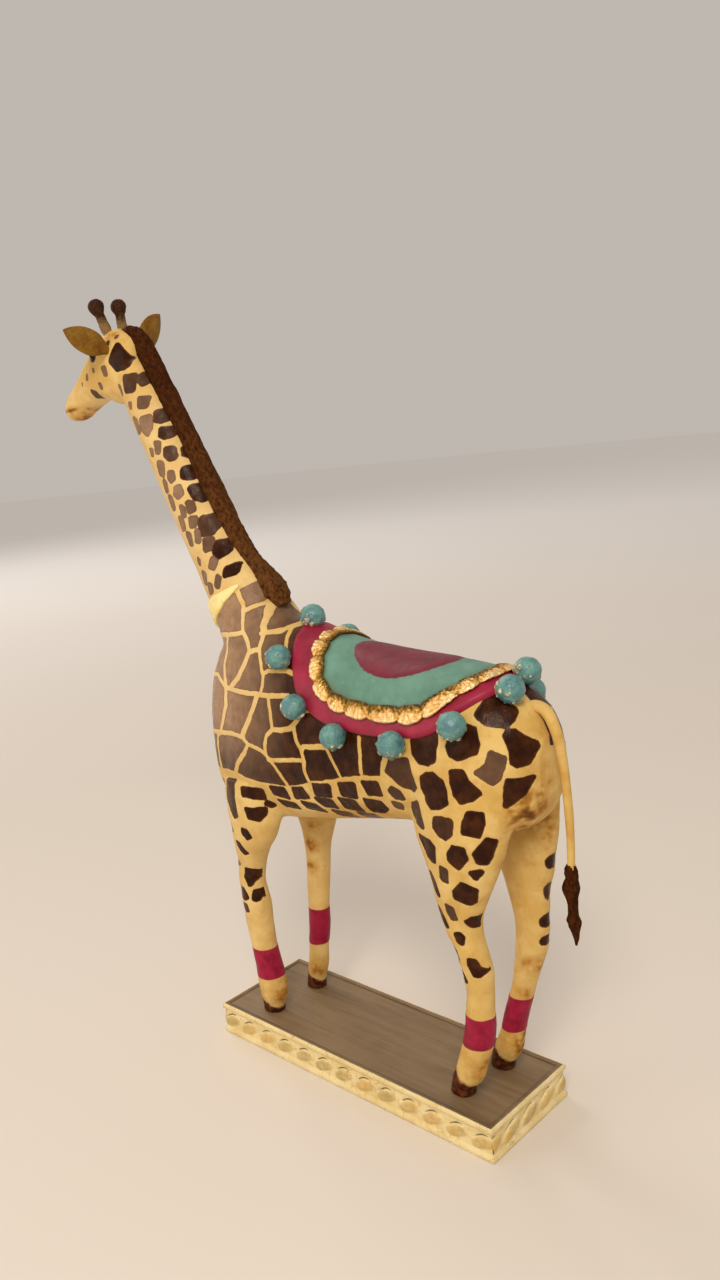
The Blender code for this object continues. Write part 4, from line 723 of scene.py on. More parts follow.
def hoof_clefts(mesh):
    """Notch down the front of each hoof, and a slight rim above it."""
    points, normals = mesh_points(mesh), mesh_normals(mesh)
    push = np.zeros(len(points))
    for leg, stations in LEGS.items():
        _, x, y, _, deep = stations[0]
        x *= SIDES[leg[1]]
        toe = y - deep
        cleft = [(x, toe, CLEFT_LOW), (x, toe + 1.0, CLEFT_HIGH)]
        push -= CLEFT_DEPTH * groove_along(points, cleft, CLEFT_WIDTH)
        rim = np.exp(-((points[:, 2] - HOOF_TOP[leg] + HOOF_RIM_DROP) / HOOF_RIM_WIDTH) ** 2)
        push += HOOF_RIM * rim * (np.linalg.norm(points[:, :2] - (x, y), axis=1) < HOOF_REACH)
    set_points(mesh, points + normals * push[:, None])


# ================================================================ the painted pattern
def polygon_distance(places, corners):
    """Signed distance to a polygon in mm, positive inside."""
    corners = np.array(corners, float)
    inside = np.zeros(len(places), bool)
    best = np.full(len(places), FAR)
    for start, end in zip(corners, np.roll(corners, -1, 0)):
        best = np.minimum(best, segment_distance(places, start, end))
        crosses = (start[1] > places[:, 1]) != (end[1] > places[:, 1])
        rise = end[1] - start[1] if end[1] != start[1] else 1.0 / FAR
        at = (end[0] - start[0]) * (places[:, 1] - start[1]) / rise + start[0]
        inside ^= crosses & (places[:, 0] < at)
    return np.where(inside, best, -best)


def rounded_distance(places, corners, rounding):
    """The same for a polygon with rounded corners."""
    corners = np.array(corners, float)
    middle = corners.mean(0)
    size = np.linalg.norm(corners - middle, axis=1).mean()
    used = min(rounding, size * MOST_ROUNDING)
    return polygon_distance(places, middle + (corners - middle) * (1.0 - used / size)) + used


def unwrap(points):
    """Distance along the skin from the rump to the chest, and height."""
    y, z = points[:, 1], points[:, 2]
    chest = interpolate(CHEST_REACH, z)[0]
    share = np.clip((CHEST_TURN - y) / (CHEST_TURN - chest), 0.0, 1.0)
    wrapped = CHEST_TURN - CHEST_WRAP * np.arcsin(share) / (np.pi / 2)
    on_chest = (y < CHEST_TURN) & (z > CHEST_LOW) & (z < CHEST_HIGH)
    place = np.where(on_chest, wrapped, y)
    rump = interpolate(RUMP_REACH, z)[0]
    share = np.clip((y - RUMP_TURN) / (rump - RUMP_TURN), 0.0, 1.0)
    wrapped = RUMP_TURN + RUMP_WRAP * np.arcsin(share) / (np.pi / 2)
    weight = np.clip((z - RUMP_LOW) / RUMP_BLEND, 0.0, 1.0)
    place = np.where(y > RUMP_TURN, y + (wrapped - y) * weight, place)
    return np.stack([place, z], 1)


def chest_sheen(points):
    """How strong the painted sheen on the chest is, from 0 on the flank to 1 in front."""
    start, full = CHEST_SHEEN_Y
    forward = np.clip((points[:, 1] - start) / (full - start), 0.0, 1.0)
    low, high = CHEST_SHEEN_Z
    return forward * np.clip((points[:, 2] - low) / (high - low), CHEST_SHEEN_LEAST, 1.0)


def cream_sheen_and_wear(points):
    """How pale the cream is: painted sheen on the chest, and a little paler cream on the neck."""
    z = points[:, 2]
    rise = np.clip((z - NECK_Z) / NECK_WEAR_RISE, 0.0, 1.0)
    fade = np.clip((NECK_WEAR_TOP - z) / NECK_WEAR_FADE, 0.0, 1.0)
    return np.where(z < NECK_Z, chest_sheen(points), NECK_WEAR * rise * fade)


def noise_pair(points, size, seed):
    """Two noises for each point, to shift places on the skin."""
    return np.stack([noise_at(points, size, seed), noise_at(points, size, seed + 1.0)], 1)


def field_distance(places):
    """Signed distance into the dark field, with the cream lines drawn over it."""
    patch = polygon_distance(places, FIELD)
    for width, path in LINES:
        corners = np.array(path, float)
        for start, end in zip(corners, corners[1:]):
            patch = np.minimum(patch, segment_distance(places, start, end) - width * 0.5)
    return patch


def add_patches(places, patch, tone):
    """Add the separate patches and their tones to the distances."""
    for shade, corners in PATCHES:
        box = np.array(corners, float)
        near = np.all((places > box.min(0) - PATCH_REACH) & (places < box.max(0) + PATCH_REACH), axis=1)
        if not near.any():
            continue
        rounding = NECK_ROUNDING if box[:, 1].min() > NECK_Z else PATCH_ROUNDING
        distance = rounded_distance(places[near], corners, rounding)
        better = distance > patch[near]
        chosen = np.flatnonzero(near)[better]
        patch[chosen] = distance[better]
        tone[chosen] = shade


def add_throat(points, normals, drift, patch, tone):
    """Add the pale patches that only the front of the neck shows."""
    throat = (normals[:, 1] < THROAT_FACING) & (points[:, 2] > THROAT_LOW) & (points[:, 1] < THROAT_BEFORE)
    for x, z, wide, high in THROAT_SPOTS:
        across = np.abs((points[:, 0] + drift[:, 0] - x) / wide)
        along = np.abs((points[:, 2] + drift[:, 1] + THROAT_TILT * points[:, 0] - z) / high)
        size = (across ** THROAT_SQUARENESS + along ** THROAT_SQUARENESS) ** (1.0 / THROAT_SQUARENESS)
        spot = (1.0 - size) * wide
        better = throat & (spot > patch)
        patch[better] = spot[better]
        tone[better] = THROAT_TONE


def pattern(points, normals):
    """Signed distance into the nearest patch, and that patch's tone, with the painted sheen on the chest.
    """
    places = unwrap(points)
    right = points[:, 0] < 0.0
    drift = noise_pair(points, 26.0, 11.0)
    places[right] += RIGHT_DRIFT * drift[right]
    places += HAND_WOBBLE * noise_pair(points, 4.5, 13.0)
    patch = field_distance(places)
    # painted sheen: the dark field on the chest starts out paler, towards tan
    tone = CHEST_SHEEN_TONE * chest_sheen(points)
    add_patches(places, patch, tone)
    distance = rounded_distance(places, RIGHT_PATCH, PATCH_ROUNDING)
    patch = np.where(right, np.maximum(patch, distance), patch)
    add_throat(points, normals, drift, patch, tone)
    outward = normals[:, 0] * np.where(right, -1.0, 1.0)
    on_leg = points[:, 2] < LEG_Z
    inner = on_leg & ((points[:, 1] > HIND_Y) | (points[:, 2] < FORELEG_Z))
    patch = np.where(inner, np.minimum(patch, (outward + INNER_EDGE) * INNER_SLOPE), patch)
    for y, z, wide, high in FAR_LEG_SPOTS:
        size = np.hypot((points[:, 1] - y) / wide, (points[:, 2] - z) / high)
        spot = (1.0 - size) * min(wide, high)
        patch = np.where(right & on_leg, np.maximum(patch, spot), patch)
    return patch, tone


def leg_marks(points):
    """Signed distances into the leg bands and the hooves."""
    band = np.full(len(points), -DISTANCE_LIMIT)
    hoof = np.full(len(points), -DISTANCE_LIMIT)
    z = points[:, 2] + LEG_WOBBLE * noise_at(points, 7.0, 21.0)
    for leg, (low, high) in BANDS.items():
        end, side = leg
        mine = (points[:, 0] * SIDES[side] > 0.0) & ((points[:, 1] > 0.0) == (end == "rear"))
        mine &= points[:, 2] < BANDS_BELOW
        band = np.where(mine, np.minimum(z - low, high - z), band)
        middle = interpolate([(row[0], row[2]) for row in LEGS[leg]], points[:, 2])[0]
        slope = HOOF_SLOPE * (points[:, 1] - middle)
        hoof = np.where(mine, HOOF_TOP[leg] - z - slope, hoof)
    return band, hoof


def stains_and_shade(points):
    """How brown the cream paint is made, from 0 to 1: stains, and painted shade under the tail, the belly,
    the muzzle and between the legs.
    """
    amount = np.zeros(len(points))
    for x, y, z, radius, strength in STAINS_AND_SHADE:
        amount = np.maximum(amount, strength * bump_at(points, (x, y, z), radius))
    patchy = 0.5 + 0.9 * noise_at(points, 5.0, 31.0) + 0.5 * noise_at(points, 2.0, 32.0)
    return np.clip(amount * np.clip(patchy + 0.35, 0.0, 1.6), 0.0, 1.0)


def paint_piece(mesh, normals):
    """Store everything that the animal's material reads, and sink the patches a little."""
    points = mesh_points(mesh)
    patch, tone = pattern(points, normals)
    band, hoof = leg_marks(points)
    places = on_left(points)
    eye = EYE_RADIUS - np.linalg.norm(places - np.array(EYE) - EYE_LOOK, axis=1) * EYE_SHRINK
    lips = np.maximum(groove_along(places, MOUTH, LIP_WIDTH), bump_at(places, NOSTRIL, NOSTRIL_RADIUS))
    patch, band, hoof, eye = [
        np.clip(distance, -DISTANCE_LIMIT, DISTANCE_LIMIT) for distance in (patch, band, hoof, eye)]
    store(mesh, "patch", patch)
    store(mesh, "tone", tone)
    # on the chest this is painted sheen, on the neck paler cream
    store(mesh, "worn", cream_sheen_and_wear(points))
    store(mesh, "band", band)
    store(mesh, "hoof", hoof)
    store(mesh, "eye", eye)
    # stains and painted shade, with painted shade in the mouth crease and the nostril
    store(mesh, "stain_and_shade", np.clip(stains_and_shade(points) + LIP_SHADE * lips, 0.0, 1.0))
    sunk = np.clip(patch / 0.8 + 0.5, 0.0, 1.0) * np.where(points[:, 2] > SUNK_NECK_Z, SUNK_NECK, SUNK_BODY)
    facets = FACET_HEIGHT * np.clip(patch / 2.0, 0.0, 1.0) * noise_at(points, 4.0, 41.0)
    raised = BAND_HEIGHT * np.clip(band / 0.6 + 0.5, 0.0, 1.0)
    set_points(mesh, points + normals * (facets + raised - sunk)[:, None])


def piece_labels(centres):
    """Which carved piece each face belongs to, by the joint planes."""
    labels = np.full(len(centres), "torso", dtype=object)
    beyond = {}
    for name, (place, normal) in {"neck": NECK_JOINT, "head": HEAD_JOINT}.items():
        beyond[name] = (centres - np.array(place)) @ np.array(normal) > 0.0
    labels[beyond["neck"] & (centres[:, 2] > NECK_ABOVE)] = "neck"
    labels[beyond["head"] & (centres[:, 2] > HEAD_ABOVE)] = "head"
    for end, sign in (("front", -1.0), ("rear", 1.0)):
        low = (centres[:, 2] < JOINT_Z[end]) & (centres[:, 1] * sign > 0.0)
        for side, across in SIDES.items():
            labels[low & (centres[:, 0] * across > 0.0)] = f"{end}_{side}_leg"
    return labels


def cut_skin(mesh):
    """Add edges to the skin along every joint plane."""
    bm = bmesh.new()
    bm.from_mesh(mesh)
    planes = [
        (*NECK_JOINT, lambda c: c.z > NECK_ABOVE),
        (*HEAD_JOINT, lambda c: c.z > HEAD_ABOVE),
        ((0.0, 0.0, JOINT_Z["front"]), (0.0, 0.0, 1.0), lambda c: c.y < 0.0 and c.z < LEGS_BELOW),
        ((0.0, 0.0, JOINT_Z["rear"]), (0.0, 0.0, 1.0), lambda c: c.y > 0.0 and c.z < LEGS_BELOW),
    ]
    for place, normal, wanted in planes:
        place, normal = Vector(place), Vector(normal).normalized()
        faces = [f for f in bm.faces
                 if abs((f.verts[0].co - place).dot(normal)) < CUT_REACH and wanted(f.verts[0].co)]
        edges = list({edge for face in faces for edge in face.edges})
        verts = list({vert for face in faces for vert in face.verts})
        bmesh.ops.bisect_plane(bm, geom=verts + edges + faces, plane_co=place, plane_no=normal,
                               dist=CUT_SNAP)
    bm.to_mesh(mesh)
    bm.free()
    mesh.update()


def split_skin(mesh, paint):
    """Cut the skin where the CAD pieces meet and close each piece with flat caps."""
    faces = np.array([list(face.center) for face in mesh.polygons])
    labels = piece_labels(faces)
    for name in sorted(set(labels)):
        bm = bmesh.new()
        bm.from_mesh(mesh)
        bm.faces.ensure_lookup_table()
        others = [bm.faces[index] for index in np.flatnonzero(labels != name)]
        bmesh.ops.delete(bm, geom=others, context="FACES")
        rim = [edge for edge in bm.edges if edge.is_boundary]
        for edge in rim:
            edge.smooth = False
        bmesh.ops.holes_fill(bm, edges=rim, sides=0)
        make_object("carved_" + name, bm, (name,), paint, recalc=False)


def make_animal(paint):
    """Carve and paint the animal, one piece for each CAD piece; gives its surface in mm."""
    skin = remeshed(animal_rings(), VOXEL * (1.0))
    smooth(skin, FIRST_ROUNDS)
    carve(skin)
    hoof_clefts(skin)
    cut_skin(skin)
    paint_piece(skin, mesh_normals(skin))
    surface = BVHTree.FromPolygons(
        [Vector(point) for point in mesh_points(skin)], [tuple(face.vertices) for face in skin.polygons])
    split_skin(skin, paint)
    return surface


# ================================================================ dressing of the back
def body_at(y, degrees, height):
    """Points and outward directions over the barrel at y and degrees down from the ridge."""
    y, degrees = np.atleast_1d(y).astype(float), np.atleast_1d(degrees).astype(float)
    half_width, top, bottom, middle = interpolate(SMOOTH_BODY, y)
    angle = np.radians(degrees)
    across = signed_power(np.sin(angle), 2.0 / BODY_SQUARENESS) * half_width
    upward = signed_power(np.cos(angle), 2.0 / BODY_SQUARENESS)
    lift = upward * np.where(upward > 0.0, top - middle, middle - bottom)
    slope = (interpolate(SMOOTH_BODY, y + 3.0)[1] - interpolate(SMOOTH_BODY, y - 3.0)[1]) / 6.0
    level = np.cos(angle) / (top - middle)
    normal = np.stack([np.sin(angle) / half_width, -slope * level, level], 1)
    normal /= np.linalg.norm(normal, axis=1)[:, None]
    return np.stack([across, y, middle + lift], 1) + normal * np.reshape(height, (-1, 1)), normal


SMOOTH_BODY = [tuple(row) for row in refine(BODY, 8)]


def saddle_loop(count, scale=1.0, front_scale=1.0, rear_scale=1.0):
    """Closed edge of the saddle cloth as y and degrees, scaled about its middle."""
    mirrored = [(y, -degrees) for y, degrees in reversed(SADDLE_HEM[1:-1])]
    corners = np.array(SADDLE_HEM + mirrored)
    fine = refine(np.vstack([corners[-2:], corners, corners[:3]]), 12)[24:-24]
    place = np.linspace(0.0, len(fine) - 1.0, count, endpoint=False)
    y = np.interp(place, np.arange(len(fine)), fine[:, 0]) - SADDLE_CENTRE_Y
    degrees = np.interp(place, np.arange(len(fine)), fine[:, 1])
    return SADDLE_CENTRE_Y + y * np.where(y > 0.0, rear_scale, front_scale), degrees * scale


def make_saddle(paint):
    """Saddle cloth: a hard painted shell with a rounded hem and a padded seat."""
    y, degrees = saddle_loop(SADDLE_COUNT)
    shares = np.linspace(0.0, 1.0, SADDLE_RINGS + 1)[1:]
    bm = bmesh.new()
    rows = []
    for share in shares:
        here_y = SADDLE_CENTRE_Y + (y - SADDLE_CENTRE_Y) * share
        flat, _ = body_at(here_y, degrees * share, 0.0)
        roll = max(share - (1.0 - HEM_ROLL), 0.0) / HEM_ROLL
        height = SADDLE_THICKNESS * np.sqrt(np.clip(1.0 - roll ** 2, 0.0, 1.0))
        height = height + SEAT_RISE * np.clip(seat_distance(flat) / SEAT_EDGE, 0.0, 1.0)
        height = height + SADDLE_WAVE * noise_at(flat, 9.0, 51.0)
        top, _ = body_at(here_y, degrees * share, height)
        rows.append([bm.verts.new(point) for point in top])
    middle = bm.verts.new(body_at(SADDLE_CENTRE_Y, 0.0, SADDLE_THICKNESS + SEAT_RISE)[0][0])
    floor = [bm.verts.new(point) for point in body_at(y, degrees, SADDLE_UNDER)[0]]
    below = bm.verts.new(body_at(SADDLE_CENTRE_Y, 0.0, SADDLE_UNDER)[0][0])
    for index in range(SADDLE_COUNT):
        after = (index + 1) % SADDLE_COUNT
        bm.faces.new((middle, rows[0][index], rows[0][after]))
        for inner, outer in zip(rows, rows[1:]):
            bm.faces.new((inner[index], outer[index], outer[after], inner[after]))
        bm.faces.new((rows[-1][index], floor[index], floor[after], rows[-1][after]))
        bm.faces.new((below, floor[after], floor[index]))
    piece = make_object("saddle_cloth_painted", bm, ("saddle_cloth",), paint)
    forward = (SADDLE_CENTRE_Y - y) / (SADDLE_CENTRE_Y - y.min())
    stretch = BRAID_SCALE / np.interp(forward, [0.0, 1.0], [BRAID_SCALE, BRAID_FRONT_SCALE])
    store(piece.data, "rim", np.concatenate([np.outer(shares, stretch).ravel(), [0.0], stretch, [0.0]]))
    seat = seat_distance(mesh_points(piece.data) / MM)
    store(piece.data, "seat", np.clip(seat, -DISTANCE_LIMIT, DISTANCE_LIMIT))
    return piece


def seat_distance(points):
    """Roughly how far a point of the saddle cloth is inside the oval seat, in mm."""
    size = np.hypot((points[:, 1] - SEAT_CENTRE_Y) / SEAT_LENGTH, points[:, 0] / SEAT_WIDTH)
    return (1.0 - size) * SEAT_WIDTH


def shell_point(along, share, stray):
    """One point of a braid shell: its place across the braid and the height of its crimped leaf.

    along runs from -1 to 1 over the shell, share from -1 to 1 across the braid.
    """
    shell = math.sqrt(max(1.0 - along * along, 0.0))
    reach = (0.52 + 0.62 * shell) if share > 0.0 else (0.72 + 0.36 * shell)
    side = share * BRAID_HALF_WIDTH * reach * (1.0 + BRAID_SWING * stray)
    pleat = math.cos(math.atan2(along * 3.4, share + 1.25) * 9.0 + 3.0 * stray)
    swell = (0.35 + 0.65 * shell) * (1.0 - 0.55 * abs(share - 0.25) ** 1.5)
    lip = 0.5 * math.exp(-((share - 0.78) / 0.12) ** 2) * shell
    return side, 0.55 + 1.45 * swell + 0.22 * pleat, lip


def make_braid(paint):
    """Gold braid: a ribbon gathered into a row of crinkled shells round the saddle cloth."""
    count = BRAID_RUFFLES * BRAID_STEPS
    y, degrees = saddle_loop(count, BRAID_SCALE, BRAID_FRONT_SCALE, BRAID_REAR_SCALE)
    centres, normals = body_at(y, degrees, SADDLE_THICKNESS)
    travel = np.roll(centres, -1, 0) - np.roll(centres, 1, 0)
    travel /= np.linalg.norm(travel, axis=1)[:, None]
    across = np.cross(travel, normals)
    across /= np.linalg.norm(across, axis=1)[:, None]
    from_middle = centres - np.array([0.0, SADDLE_CENTRE_Y, BRAID_MIDDLE_Z])
    across *= np.where((from_middle * across).sum(1) > 0.0, 1.0, -1.0)[:, None]
    stray = noise_at(centres, 11.0, 61.0)
    place = np.arange(count) / count * BRAID_RUFFLES + BRAID_STRAY * stray
    rings, heights = [], []
    for index in range(count):
        along = place[index] % 1.0 * 2.0 - 1.0
        ring, level = [], []
        for share in np.linspace(-1.0, 1.0, BRAID_COLUMNS):
            side, lift, lip = shell_point(along, share, stray[index])
            point = centres[index] + across[index] * side
            crumple = noise.noise(Vector(point) / 1.25) + 0.6 * noise.noise(Vector(point) / 0.55)
            lift += BRAID_CRUMPLE * crumple + lip
            ring.append(point + normals[index] * max(lift, BRAID_LEAST))
            level.append(lift + 0.55 * share)
        for share in BRAID_FOOT:
            side = across[index] * BRAID_HALF_WIDTH * share
            ring.append(centres[index] + side - normals[index] * BRAID_SUNK)
            level.append(0.0)
        rings.append(ring)
        heights.append(level)
    bm = bmesh.new()
    loft_mesh(bm, rings, closed=True)
    piece = make_object("gold_braid_ruffled", bm, ("gold_braid",), paint)
    store(piece.data, "level", np.array(heights).ravel())
    return piece


def grit_on(points, normal, rng):
    """Height of the grit at unit points of a bead, gathered low down and towards the animal."""
    spots = rng.normal(size=(GRIT_SPOTS, 3))
    spots /= np.linalg.norm(spots, axis=1)[:, None]
    sizes = rng.uniform(GRIT_SMALLEST, GRIT_LARGEST, GRIT_SPOTS)
    low = np.array([normal[1] * 0.6, -0.8, -0.9]) - normal * 0.5
    gathered = spots @ (low / np.linalg.norm(low))
    amounts = rng.uniform(0.35, 1.0, GRIT_SPOTS) * np.clip(gathered * 1.6 + 0.95, 0.15, 1.0)
    crust = np.zeros(len(points))
    for spot, size, amount in zip(spots, sizes, amounts):
        distance = np.linalg.norm(points - spot, axis=1) / size
        crust = np.maximum(crust, amount * np.sqrt(np.clip(1.0 - distance ** 2, 0.0, 1.0)))
    return crust


def make_bead(name, y, degrees, paint, seed):
    """Bead crusted with grit and small pearls, set over the edge of the saddle cloth."""
    mirror = np.array([math.copysign(1.0, degrees) if degrees else 1.0, 1.0, 1.0])
    centres, normals = body_at(y, abs(degrees), BEAD_HEIGHT)
    centre, normal = centres[0] * mirror, normals[0] * mirror
    bm = bmesh.new()
    bmesh.ops.create_icosphere(bm, subdivisions=5, radius=1.0)
    points = np.array([vert.co for vert in bm.verts])
    crust = grit_on(points, normal, np.random.default_rng(seed))
    rough = noise_at(points * 10.0 + seed, 3.0, 71.0)
    radius = BEAD_RADIUS - BEAD_CORE + GRIT_HEIGHT * crust + BEAD_ROUGHNESS * rough
    for vert, point, size in zip(bm.verts, points, radius):
        vert.co = Vector(centre + point * size)
    piece = make_object(name + "_crusted", bm, (name,), paint)
    store(piece.data, "crust", crust)
    return piece


def make_beads(paint):
    """Thirteen beads: one in front, five on each side and two behind."""
    make_bead("bead_front", *FRONT_BEAD, paint, 1)
    for side, sign in SIDES.items():
        for number, (y, degrees) in enumerate(BEADS_ONE_SIDE, start=1):
            make_bead(f"bead_{side}_{number}", y, degrees * sign, paint, 10 * number + int(sign))
        y, degrees = REAR_BEADS[side]
        make_bead(f"bead_{side}_rear", y, degrees * sign, paint, 70 + int(sign))


# ================================================================ mane, collar, ears, horns, tail
def mane_ring(index, point, outward, half_width, height):
    """One section of the mane across its crest, roughened into locks."""
    ring = []
    for column in range(MANE_COLUMNS):
        angle = math.pi * (column / (MANE_COLUMNS - 1) - 0.5) * MANE_WRAP
        x = half_width * signed_power(math.sin(angle), 0.8)
        drop = (1.0 - max(math.cos(angle), -0.3)) * height
        if abs(angle) > math.pi / 2:
            drop += MANE_DEPTH * (abs(angle) / (math.pi / 2) - 1.0) * 6.0
        locks = noise.noise(Vector((x * 0.30, index * 0.16, 3.0)))
        fine = noise.noise(Vector((x * 0.55, index * 0.55, 9.0)))
        tuft = noise.noise(Vector((math.copysign(1.0, x) * 4.0, index * 0.30, 5.0)))
        swell = (0.75 * locks + 0.4 * fine) * max(math.cos(angle) + 0.35, 0.0)
        spread = math.copysign(0.55 * tuft * abs(math.sin(angle)), x)
        ring.append(point + outward * (swell - drop) + np.array([x + spread, 0.0, 0.0]))
    return ring


def make_mane(paint):
    """Mane: a bristly ridge down the back of the neck that widens at the withers."""
    crest = refine(MANE_CREST, 18)
    points = np.stack([np.zeros(len(crest)), crest[:, 0], crest[:, 1]], 1)
    half_widths, heights = interpolate(MANE, np.linspace(0.0, 1.0, len(points)))
    rings = []
    for index, (point, direction) in enumerate(zip(points, path_directions(points))):
        outward = np.cross([1.0, 0.0, 0.0], direction)
        outward /= np.linalg.norm(outward)
        if outward[1] < 0.0 and outward[2] < 0.0:
            outward = -outward
        rings.append(mane_ring(index, point, outward, half_widths[index], heights[index]))
    bm = bmesh.new()
    loft_mesh(bm, rings)
    return make_object("mane_bristles", bm, ("mane",), paint)


def make_collar(paint, skin):
    """Collar: a proud band laid on the skin round the neck's foot, deepest over the throat."""
    centre, normal = [np.array(value) for value in NECK_JOINT]
    normal = normal / np.linalg.norm(normal)
    forward = np.cross(normal, [1.0, 0.0, 0.0])
    forward = forward if forward[1] < 0.0 else -forward
    rings = []
    for share in np.linspace(-1.0, 1.0, COLLAR_STEPS + 1):
        angle = math.radians(COLLAR_REACH * share)
        outward = np.array([math.sin(angle), 0.0, 0.0]) + forward * math.cos(angle)
        taper = max(1.0 - abs(share) ** 1.6, 0.0)
        half = COLLAR_END_HALF + (COLLAR_FRONT_HALF - COLLAR_END_HALF) * taper
        half *= 1.0 + 0.05 * math.sin(share * 23.0)
        thickness = COLLAR_THICKNESS * (0.55 + 0.45 * taper)
        ring = []
        for level, thick in COLLAR_OUTLINE:
            start = centre + normal * half * level + outward * COLLAR_SIGHT
            hit = skin.ray_cast(Vector(start), Vector(-outward))[0]
            grow = thickness * thick
            if thick > 0.0:
                grow += 0.35 * noise.noise(Vector((angle * 5.0, level * 1.6, 2.0)))
            ring.append(np.array(hit) + outward * grow)
        rings.append(ring)
    bm = bmesh.new()
    loft_mesh(bm, rings)
    return make_object("collar_band", bm, ("collar",), paint)


def make_ears(paint):
    """Leaf-shaped ears, cupped on the side that faces forward."""
    for side, sign in SIDES.items():
        mirror = (sign, 1.0, 1.0)
        base = np.array(EAR_BASE) * mirror
        length = np.array(EAR_TIPS[side]) * mirror - base
        outward = length / np.linalg.norm(length)
        facing = np.array(EAR_FACING) * mirror
        facing -= outward * (facing @ outward)
        facing /= np.linalg.norm(facing)
        broad = np.cross(outward, facing)
        rings = []
        for share, wide, thick in refine(EAR_PROFILE, 6):
            hollow = EAR_CUP * max(math.sin(math.pi * min(max(share, 0.0), 1.0)), 0.0)
            ring = []
            for angle in np.linspace(0.0, 2.0 * np.pi, EAR_SIDES, endpoint=False):
                depth = thick * math.sin(angle) + hollow * (1.0 - math.cos(angle) ** 2) - EAR_SET
                ring.append(base + length * share + broad * wide * math.cos(angle) + facing * depth)
            rings.append(ring)
        bm = bmesh.new()
        loft_mesh(bm, rings)
        make_object(f"{side}_ear_leaf", bm, (f"{side}_ear",), paint)


def make_horns(paint):
    """Short horns with a knob of hair at the tip."""
    for side, sign in SIDES.items():
        base = np.array(HORN_BASE) * (sign, 1.0, 1.0)
        tip = np.array(HORN_TIP) * (sign, 1.0, 1.0)
        up = (tip - base) / np.linalg.norm(tip - base)
        across = np.cross(up, [0.0, 1.0, 0.0])
        across /= np.linalg.norm(across)
        depth = np.cross(up, across)
        rings = []
        for height, radius in refine(HORN_PROFILE, 5):
            ring = []
            for angle in np.linspace(0.0, 2.0 * np.pi, HORN_SIDES, endpoint=False):
                turn = Vector((math.cos(angle) * 3.0, math.sin(angle) * 3.0, height * 0.3 + sign))
                size = radius + HORN_BRISTLE * noise.noise(turn) * min(radius / 3.0, 1.0)
                ring.append(base + up * height + across * math.cos(angle) * size
                            + depth * math.sin(angle) * size)
            rings.append(ring)
        bm = bmesh.new()
        loft_mesh(bm, rings)
        make_object(f"{side}_horn_knobbed", bm, (f"{side}_horn",), paint)


def tube(path, texture, sides=24):
    """Rings round a path of (y, z, radius), roughened by a noise amount."""
    rows = refine(path, 10)
    points = np.stack([np.zeros(len(rows)), rows[:, 0], rows[:, 1]], 1)
    rings = []
    directions = path_directions(points)
    for index, (point, direction, radius) in enumerate(zip(points, directions, rows[:, 2])):
        ring = along_ring(point, direction, 1.0, 1.0, sides) - point
        for corner, offset in enumerate(ring):
            turn = 2.0 * math.pi * corner / sides
            grain = noise.noise(Vector((math.cos(turn) * 2.2, math.sin(turn) * 2.2, index * 0.12)))
            ring[corner] = point + offset * max(radius * (1.0 + texture * grain), 0.2)
        rings.append(ring)
    return rings


def make_tail(tail_paint, tuft_paint):
    """Tail that grows out of the rump, and its dark tuft."""
    for name, path, slot, replaced, paint, texture in (
            ("tail_painted", TAIL_PATH, "painted_body", "tail", tail_paint, TAIL_GRAIN),
            ("tail_tuft_bristles", TUFT_PATH, "mane_paint", "tail_tuft", tuft_paint, TUFT_GRAIN)):
        bm = bmesh.new()
        loft_mesh(bm, tube(path, texture))
        piece = make_object(name, bm, (replaced,), paint)
        if slot == "painted_body":
            points = mesh_points(piece.data) / MM
            for layer in ("patch", "band", "hoof", "eye"):
                store(piece.data, layer, np.full(len(points), -DISTANCE_LIMIT))
            store(piece.data, "tone", np.zeros(len(points)))
            # the same stains and painted shade as the skin
            store(piece.data, "stain_and_shade", stains_and_shade(points))


# ================================================================ plinth
def moulding_outline():
    """Section of a moulding: distance out from the board and height, bottom to top, with soft rails."""
    face, field = MOULDING_THICKNESS, MOULDING_THICKNESS - FIELD_DEPTH
    top = PLINTH_HEIGHT - TOP_RAIL
    corners = [
        (0.0, 0.0), (face - 0.5, 0.0), (face - 0.1, 0.4), (face, 1.3), (face - 0.15, BOTTOM_RAIL - 0.3),
        (field + 0.1, BOTTOM_RAIL + 0.5),
    ]
    for height in np.arange(BOTTOM_RAIL + 0.8, top - 0.6, 0.5):
        corners.append((field, float(height)))
    corners += [
        (field + 0.1, top - 0.4), (face - 0.15, top + 0.3), (face, top + 1.5),
        (face - 0.1, PLINTH_HEIGHT - 0.7),
        (face - 0.5, PLINTH_HEIGHT - 0.15), (face - 0.9, PLINTH_HEIGHT), (face - 1.1, PLINTH_HEIGHT),
        (face - 1.3, PLINTH_HEIGHT), (0.0, PLINTH_HEIGHT),
    ]
    return corners


def leaf_relief(along, height):
    """Carved band of overlapping slanted leaves: their height, negative in the cuts above them."""
    low, high = BOTTOM_RAIL + 0.4, PLINTH_HEIGHT - TOP_RAIL - 0.3
    across = (height - (low + high) * 0.5) / ((high - low) * 0.5)
    if abs(across) >= 1.0:
        return 0.0
    place = (along / LEAF_PITCH + 0.5) % 1.0 * 2.0 - 1.0
    across -= 0.30 * math.sin(place * math.pi * 0.5)
    leaf = max(1.0 - (abs(place) / 0.92) ** 2.2 - ((across + 0.12) / 0.60) ** 2, 0.0)
    rib = 0.12 * math.exp(-((across + 0.12) / 0.07) ** 2)
    arc = max(1.0 - (abs(place + 0.10) / 0.62) ** 2, 0.0)
    cut = math.exp(-((across - 0.28 - 0.30 * arc) / 0.075) ** 2) * min(arc * 2.0, 1.0)
    return (math.sqrt(leaf) - rib * leaf) * (1.0 - cut) - CUT_DEPTH * cut


